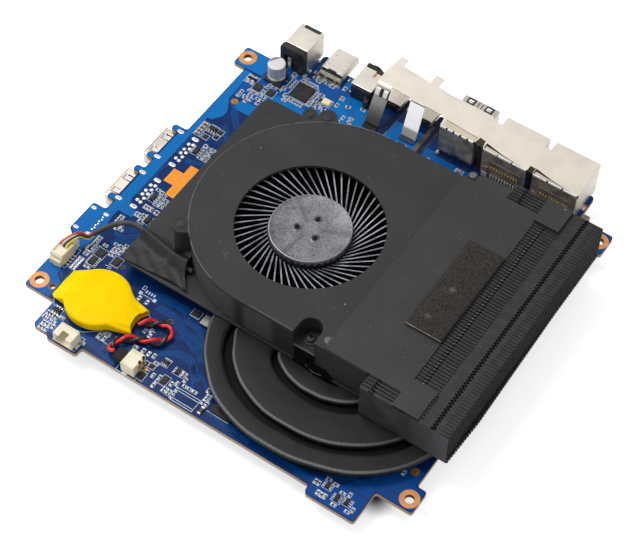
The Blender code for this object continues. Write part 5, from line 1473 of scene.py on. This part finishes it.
hub_metal = finish("hub_metal", spun_metal, Metallic=0.45)
hub_hole_shade = moulding("hub_hole_shade", (10, 10, 11), (20, 20, 21), 0.5, 0.3, 0.01, 1.0, Specular_IOR_Level=0.1)
rim_metal = moulding("hub_rim", (150, 150, 153), (176, 176, 179), 0.35, 0.3, 0.006, 2.0, Metallic=0.3)
dimple_metal = moulding("dimple_metal", (92, 92, 95), (126, 126, 129), 0.3, 0.3, 0.006, 1.0, Metallic=0.5)
dimple_shade = moulding("dimple_shade", (44, 44, 46), (72, 72, 74), 0.3, 0.3, 0.006, 1.0, Metallic=0.4)
cap = Shape(hub_metal)
cap_profile = (
    (13.2, 16.2), (13.25, 18.2), (13.1, 18.62), (12.75, 18.78),
    (12.4, 18.66), (12.1, 18.55), (6.0, 18.52), (0.4, 18.5),
)
cap.turned(axle_x, axle_y, cap_profile, 72)
dimple = ((1.65, 18.5), (1.6, 18.58), (1.3, 18.66), (0.95, 18.6), (0.72, 18.53))
for x, y in ((62.7, 51.7), (66.4, 57.7), (69.7, 51.2)):
    cap.turned(x, y, dimple, 28, dimple_metal)
    # A ring of painted shade in the dimple's bowl and a black disc of painted shade for its hole.
    cap.ring(x, y, 18.5, 18.63, 0.6, 1.1, dimple_shade, 24)
    cap.turned(x, y, ((0.74, 18.5), (0.7, 18.64)), 20, hub_hole_shade)
rim_profile = ((12.98, 18.6), (13.02, 18.76), (12.88, 18.8), (12.76, 18.7))
cap.loft([raised(round_outline(axle_x, axle_y, radius, 72), z) for radius, z in rim_profile], rim_metal, True)
piece("hub_cap", cap, "rotor", 40)


# Cover trim: the rounded lip along the cover's curved edge, pale with a painted highlight, the pins
# and rings moulded on its ears, and the opening under the screw's recess, dark with painted shade.
# Same matt plastic as the cover, smoother and with a painted highlight where it is raised.
lip_highlight_grey = finish("lip_highlight_grey", dusty((70, 70, 72), (98, 98, 100), 0.42))
scuff_and_highlight_grey = moulding("scuff_and_highlight_grey", (84, 84, 86), (108, 108, 110), 0.5, 0.3, 0.01, 1.0)
opening_shade = moulding("painted_opening_shade", (10, 10, 11), (20, 20, 21), 0.7, 0.4, 0.01, 3.0, Specular_IOR_Level=0.05)
trim = Shape(lip_highlight_grey)
cover_top = 19.88
lip_route = []
for k in range(60):
    turn = math.radians(-112 - 160 * k / 59)
    share = ((-90 - math.degrees(turn)) % 360) / 180
    reach = 35.0 + 8.0 * share + 0.18
    lip_route.append((axle_x + reach * math.cos(turn), axle_y + reach * math.sin(turn), 19.86))
trim.tube(lip_route, 0.17, 8)
trim.tube([(68.0, 18.42, 19.84), (76.0, 18.42, 19.86), (83.6, 18.42, 19.84)], 0.14, 8)
pin = ((1.5, cover_top), (1.5, 20.1), (1.2, 20.25), (0.5, 20.25))
for x, y, size in ((33.2, 31.4, 1.0), (46.6, 92.8, 1.0), (41.2, 90.6, 0.75)):
    trim.turned(x, y, [(radius * size, z) for radius, z in pin], 28, cover_black)
    trim.ring(x, y, cover_top, 20.02, 2.05 * size, 2.25 * size, cover_black)
    trim.ring(x, y, cover_top, 19.96, 2.8 * size, 3.0 * size, cover_black)
for x, y, profile, sides, look in (
    (94.6, 21.5, ((1.25, cover_top), (1.25, 20.02), (1.0, 20.08)), 24, lip_highlight_grey),
    (97.3, 99.4, ((1.7, 12.0), (1.7, 19.3), (1.5, 19.45)), 28, cover_black),
    (97.3, 99.4, ((1.15, 19.3), (1.15, 19.6), (1.0, 19.68)), 28, scuff_and_highlight_grey),
):
    trim.turned(x, y, profile, sides, look)
for scratch in (
    ((50.0, 29.9), (51.4, 29.5)), ((51.4, 29.5), (52.4, 28.4)),
    ((51.3, 29.6), (51.2, 30.8)), ((46.8, 33.0), (47.6, 32.6)),
):
    trim.stroke(scratch, 0.13, cover_top, 19.925, scuff_and_highlight_grey)
trim.brick(97.2, 98.4, 14.0, 2.6, 2.6, 19.3, cover_black)
# Dark sheets of painted shade for the opening under the screw's recess.
trim.brick(88.1, 18.34, 7.0, 7.2, 0.2, 12.8, opening_shade)
trim.brick(88.1, 18.3, 12.9, 7.3, 0.36, 13.5, edge=0.06)
opening_tops = (
    (84.6, 7.1), (91.7, 7.3), (92.6, 8.4), (94.0, 8.6), (95.6, 8.2), (97.2, 7.2), (98.6, 6.2), (100.2, 5.2),
)
trim.loft([[(x, 17.5, 4.9), (x, 17.5, z), (x, 18.4, z), (x, 18.4, 4.9)] for x, z in opening_tops], opening_shade)
# A pale crescent of painted highlight in front of the opening.
crescent_highlight = ((89.2, 7.1), (89.6, 6.5), (90.5, 5.7), (91.8, 5.3), (93.2, 5.4), (95.0, 6.0))
trim.tube([(x, 17.5, z) for x, z in crescent_highlight], 0.13, 8, scuff_and_highlight_grey)
piece("cover_trim", trim)


# Fin stack: folded black-coated aluminium fins, hooked together by rows of zipper tabs. The top
# lips make ribbed bands, and the zippers punch lines of small notches.
def fin_coat(spot):
    """Thin black coat over aluminium, slightly rubbed, with a soft sheen."""
    rub = between(cloud(spot, 2.5, 4.0), 0.35, 0.75)
    return {
        "Base Color": tint(rub, (40, 40, 41), (48, 48, 49)),
        "Roughness": rub * 0.16 + 0.36,
        "Normal": relief(cloud(spot, 0.4, 2.0), 0.012),
    }


def end_face(spot):
    """The black coat of the end fin, with painted light that makes it paler towards its outer corner."""
    values = moulded((52, 52, 54), (64, 64, 66), 0.5, 0.3, 0.01, 6.0)(spot)
    values["Base Color"] = tint(between(part_of(spot, 0), 128.0, 141.0), values["Base Color"], (80, 80, 82))
    return values


fin_black = finish("fin_black", fin_coat, Specular_IOR_Level=0.35)
# Near-black painted shade for the slots, notches and recesses of the fins, the screws and the film tab.
recess_shade = moulding("recess_shade", (8, 8, 9), (16, 16, 17), 0.6, 0.3, 0.01, 1.0, Specular_IOR_Level=0.05)
groove_shade = moulding("groove_shade", (22, 22, 23), (32, 32, 33), 0.6, 0.3, 0.01, 1.0,
                       Specular_IOR_Level=0.15)
# Pale tones of painted highlight for the zipper tabs.
zip_highlight_grey = moulding("zip_highlight_grey", (58, 58, 60), (76, 76, 78), 0.4, 0.3, 0.01, 1.5)
zip_highlight = moulding("zip_highlight", (92, 92, 94), (136, 136, 138), 0.4, 0.3, 0.01, 1.5, Metallic=0.2)
end_fin = finish("end_fin", end_face, Specular_IOR_Level=0.3)
dress(fin_black, "fin_stack")
fins = Shape(fin_black)
fin_count, fin_pitch, fin_top = 75, 1.21, 19.8
notch_low = fin_top - 0.02
for k in range(fin_count):
    y = 13.5 + fin_pitch * k
    for x, length, rise, gap in (
        (123.95, 2.5, 0.2, 0.34), (129.15, 4.3, 0.2, 0.36), (139.9, 3.2, 0.14, 0.16),
    ):
        fins.brick(x, y + 0.2, fin_top, length, 0.78, fin_top + rise, edge=0.07)
        # Painted shade in the grooves between the lips and in the zipper notches.
        fins.brick(x, y - 0.4, notch_low, length, gap, fin_top + 0.012, groove_shade)
    fins.brick(126.35, y - 0.25, notch_low, 0.85, 0.74, fin_top + 0.02, recess_shade)
    fins.brick(125.5, y - 0.4, notch_low, 0.7, 0.5, fin_top + 0.02, recess_shade)
    # The zipper tabs, pale with painted highlight.
    fins.brick(125.7, y + 0.2, fin_top, 0.36, 0.4, fin_top + 0.2, zip_highlight, 0.06)
    fins.brick(135.7, y + 0.05, notch_low, 0.95, 0.74, fin_top + 0.022, recess_shade, turn=32)
    fins.brick(136.35, y + 0.62, notch_low, 0.95, 0.74, fin_top + 0.024, recess_shade, turn=-32)
    fins.brick(135.3, y + 0.62, fin_top, 0.34, 0.22, fin_top + 0.1, zip_highlight_grey, 0.04, 20)
    # Painted shade in the slots of the stack's right face.
    fins.brick(141.64, y + 0.2, 5.8, 0.16, 0.66, 19.6, groove_shade)
    bow = 0.35 + 0.85 * max(0.0, 1.0 - abs(y - 30.0) / (46.0 if y > 30.0 else 22.0))
    fins.brick(141.5 + bow / 2, y + 0.2, 5.62, bow, 0.7, 7.6)
    if 14.0 < y < 18.6 or y > 97.6:
        fins.brick(116.6, y + 0.2, fin_top, 10.8, 0.74, fin_top + 0.26, edge=0.1)
        fins.brick(116.6, y - 0.4, notch_low, 10.8, 0.34, fin_top + 0.012, groove_shade)
        fins.brick(114.5, y + 0.1, fin_top, 0.6, 0.6, fin_top + 0.29, recess_shade, turn=32)
        fins.brick(115.15, y - 0.4, fin_top, 0.6, 0.6, fin_top + 0.29, recess_shade, turn=-32)
# The end fin's face, painted paler than the fins where light falls on it.
fins.brick(126.3, 13.16, 5.7, 30.4, 0.12, 19.74, end_fin)
for x in (114.8, 136.1):
    fins.brick(x - 0.45, 13.35, fin_top, 1.0, 0.4, fin_top + 0.05, recess_shade, turn=-35)
    fins.brick(x + 0.45, 13.35, fin_top, 1.0, 0.4, fin_top + 0.05, recess_shade, turn=35)
fins.row(8, 0, fin_pitch, 131.8, 14.4, fin_top + 0.5, 0.4, 0.6, fin_top + 0.53, recess_shade)
piece("fin_lips", fins)


# Duct film and foam: a thin black polyester film that closes the gap between blower and fins,
# glued at its edges, and a soft open-cell pad stuck on it.
film_black = finish("film_black", dusty((42, 42, 43), (58, 58, 59), 0.5), Specular_IOR_Level=0.3)
dress(film_black, "duct_film", edge=0.06)
tab = Shape(film_black)
# Painted shade under the tab's raised edge.
tab.prism([(122.4, 94.5), (130.7, 94.6), (130.6, 103.9), (122.5, 103.8)], 20.28, 20.8, recess_shade)
tab.prism([(122.1, 94.1), (131.0, 94.2), (131.0, 104.0), (122.1, 104.0)], 20.8, 20.98)
tab.prism([(98.9, 96.6), (110.9, 96.6), (110.9, 101.0), (100.2, 101.0), (99.2, 99.8)], 19.6, 19.98)
piece("film_tab", tab)


def open_cells(spot):
    """Soft foam: brown-black, with open cells that scatter light and dark."""
    cells = spot.node("TexVoronoi", None, {"Vector": spot, "Scale": 2.4})
    fuzz = cloud(spot, 0.35, 4.0)
    crumbs = tint(between(fuzz * 0.7 + cells * 0.5, 0.3, 0.8), (22, 20, 19), (70, 65, 61))
    spots = []
    for x, y in ((115.7, 56.8), (114.6, 44.6)):
        dx, dy = part_of(spot, 0) - x, part_of(spot, 1) - y
        spots.append(1.0 - between((dx * dx + dy * dy) ** 0.5 + fuzz * 2.0, 0.7, 2.6))
    return {
        "Base Color": tint((spots[0] + spots[1] * 0.6) * 0.4, crumbs, (150, 144, 138)),
        "Roughness": fuzz * 0.1 + 0.88,
        "Normal": relief(fuzz + cells, 0.12),
    }


pad_left, pad_right, pad_front, pad_rear, pad_low, pad_high = 110.2, 122.7, 39.1, 76.1, 20.45, 21.5


def pad_outline(inset):
    """The pad's edge in small steps, drawn in by inset."""
    left, right, front, rear = pad_left + inset, pad_right - inset, pad_front + inset, pad_rear - inset
    corners = ((left, front, 40), (right, front, 100), (right, rear, 40), (left, rear, 100))
    outline = []
    for (x0, y0, steps), (x1, y1, _) in zip(corners, corners[1:] + corners[:1]):
        outline += [(x0 + (x1 - x0) * k / steps, y0 + (y1 - y0) * k / steps) for k in range(steps)]
    return outline


foam_black = finish("foam_black", open_cells, Specular_IOR_Level=0.1)
foam_cut = moulding("foam_cut", (120, 114, 108), (160, 152, 146), 0.9, 0.4, 0.03, 2.0)
pad = Shape(foam_black)
tuft = random.Random(3)
loops = []
for inset, z in ((0.0, pad_low), (0.0, pad_high - 0.35), (0.12, pad_high - 0.12), (0.4, pad_high)):
    rough = 0.0 if z == pad_low else 0.09
    loops.append([(x + tuft.uniform(-rough, rough), y + tuft.uniform(-rough, rough), z)
                  for x, y in pad_outline(inset)])
pad.loft(loops)
pad_middle, pad_length = (pad_left + pad_right) / 2, pad_right - pad_left
pad.brick(pad_middle, pad_front - 0.03, pad_high - 0.5, pad_length, 0.16, pad_high - 0.06, foam_cut)
for _ in range(900):
    x = tuft.uniform(pad_left + 0.5, pad_right - 0.5)
    y = tuft.uniform(pad_front + 0.5, pad_rear - 0.5)
    size = tuft.uniform(0.25, 0.6)
    crumb = ((size, pad_high - 0.05), (size * 0.7, pad_high + 0.05), (size * 0.2, pad_high + 0.1))
    pad.turned(x, y, crumb, 6)
foam = piece("duct_foam", pad, smooth=60)
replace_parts(foam, "foam_pad")


# Tape: a patch of black cloth tape that holds the fan lead down on the cooler plate, ridged over
# the lead and creased where it climbs the blower's wall.
tape_wide, tape_deep, tape_half = 44, 30, 0.15
tape_edges = (
    ((19.6, 17.9, 0), (25.0, 18.3, 0), (31.0, 18.7, 0), (37.6, 19.4, 0), (43.8, 18.6, 0)),
    ((19.3, 30.6, 0), (24.0, 31.5, 0), (29.0, 31.5, 0), (33.6, 30.5, 0), (38.7, 29.4, 0)),
)
tape_front, tape_rear = (smooth_route(edge, tape_wide + 1)[0] for edge in tape_edges)


def fold(x, y, start, end, height, spread):
    """The rise of a crease that runs from start to end."""
    run = Vector(end) - Vector(start)
    share = min(max((Vector((x, y)) - Vector(start)).dot(run) / run.length_squared, 0.0), 1.0)
    gap = (Vector((x, y)) - Vector(start) - run * share).length
    return height * math.exp(-((gap / spread) ** 2))


def tape_spot(i, j):
    """A point of the tape's middle surface, i from left to right and j from front to rear."""
    v = j / tape_deep
    flat_spot = tape_front[i].lerp(tape_rear[i], v)
    x, y = flat_spot.x - 1.6 * (i / tape_wide) ** 3 * math.sin(math.pi * v), flat_spot.y
    lead_y = 29.7 - 4.0 * min(max((x - 19.0) / 22.0, 0.0), 1.0)
    ridge = 2.5 * math.exp(-(((y - lead_y) / (2.2 if y < lead_y else 1.5)) ** 2))
    away = math.hypot(x - axle_x, y - axle_y) - 36.6
    climb = max(0.0, 1 - away / 6.5) ** 1.4 * (0.6 + 4.2 * v * v)
    crease = 0.05 * math.sin(x * 0.9 + y * 1.3) + 0.03 * math.sin(x * 2.1 - y * 1.1)
    for start, end, height, spread in (
        ((30.4, 19.6), (33.4, 26.0), 0.4, 1.1), ((38.4, 24.0), (43.2, 19.4), 1.0, 0.9),
        ((23.0, 20.4), (27.6, 26.0), 0.16, 1.2),
    ):
        crease += fold(x, y, start, end, height, spread)
    return Vector((x, y, 6.72 + ridge + climb + crease))


tape_grid = [[tape_spot(i, j) for i in range(tape_wide + 1)] for j in range(tape_deep + 1)]
for j in range(tape_deep):
    for i in range(tape_wide):
        a, b, c, d = tape_grid[j][i], tape_grid[j][i + 1], tape_grid[j + 1][i + 1], tape_grid[j + 1][i]


def cloth_tape(spot):
    """Black tape: a soft dull shine that breaks up where it is crushed."""
    crush = cloud(spot, 3.4, 4.0)
    grain = cloud(spot, 0.3, 2.0)
    return {
        "Base Color": tint(between(crush, 0.35, 0.7), (33, 33, 34), (40, 40, 41)),
        "Roughness": crush * 0.2 + 0.38,
        "Normal": relief(crush + grain * 0.1, 0.04),
    }


tape_black = finish("tape_black", cloth_tape, Specular_IOR_Level=0.28)
tape = Shape(tape_black)
tape.loft([
    [(x, y, z - tape_half) for x, y, z in reversed(strip)] + [(x, y, z + tape_half) for x, y, z in strip]
    for strip in reversed(tape_grid)
])
patch = piece("lead_tape", tape, smooth=60)
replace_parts(patch, "tape_patch")


# Screws: black cross-head screws of the blower and the cooler, with washers pressed under their
# heads. One stands in the cover's recess and one on the board behind the blower.
screw_black = finish("screw_black", plated((40, 40, 42), (58, 58, 60), 0.4), Metallic=0.5)
screws = Shape(screw_black)


def cross_screw(x, y, low, radius):
    """A pan head with a cross recess, over a washer."""
    washer, head = ((1.45, 0.0), (1.45, 0.25)), ((1.0, 0.25), (1.0, 0.8), (0.86, 1.1), (0.5, 1.25))
    for profile in (washer, head):
        screws.turned(x, y, [(radius * share, low + rise) for share, rise in profile], 32)
    for turn in (20, 110):
        # The cross recess in painted shade.
        screws.brick(x, y, low + 1.2, radius * 1.1, radius * 0.26, low + 1.27, recess_shade, turn=turn)


cross_screw(87.75, 22.6, 13.6, 1.7)
cross_screw(97.4, 99.2, 0.1, 1.5)
piece("screws", screws)


# Underside: two memory sockets and a drive socket moulded in black, their rows of contacts, the
# rings of the cooler's fixings and small parts. Soldered to the lower face.
dress(port_black, "memory_socket_1", "memory_socket_2", "drive_socket", edge=0.2)
below = Shape(tin)
for y in (16.5, 59.5):
    below.row(60, 1.13, 0, 35.4, y, -1.85, 0.5, 1.2, board_low, tin, 0.04)
below.row(24, 0.8, 0, 111.4, 95.4, -1.85, 0.4, 1.2, board_low, tin, 0.04)
for x, y in ((24.0, 24.0), (24.0, 92.0), (97.0, 93.0), (97.0, 36.0)):
    below.ring(x, y, -1.75, board_low, 1.35, 2.6)
under_chance = random.Random(11)
for _ in range(120):
    x, y = under_chance.uniform(10, 130), under_chance.uniform(94, 112)
    turn = under_chance.choice((across, along))
    below.brick(x, y, -2.1, 1.0, 0.6, board_low, chip_black, turn=turn)
piece("underside_contacts", below)
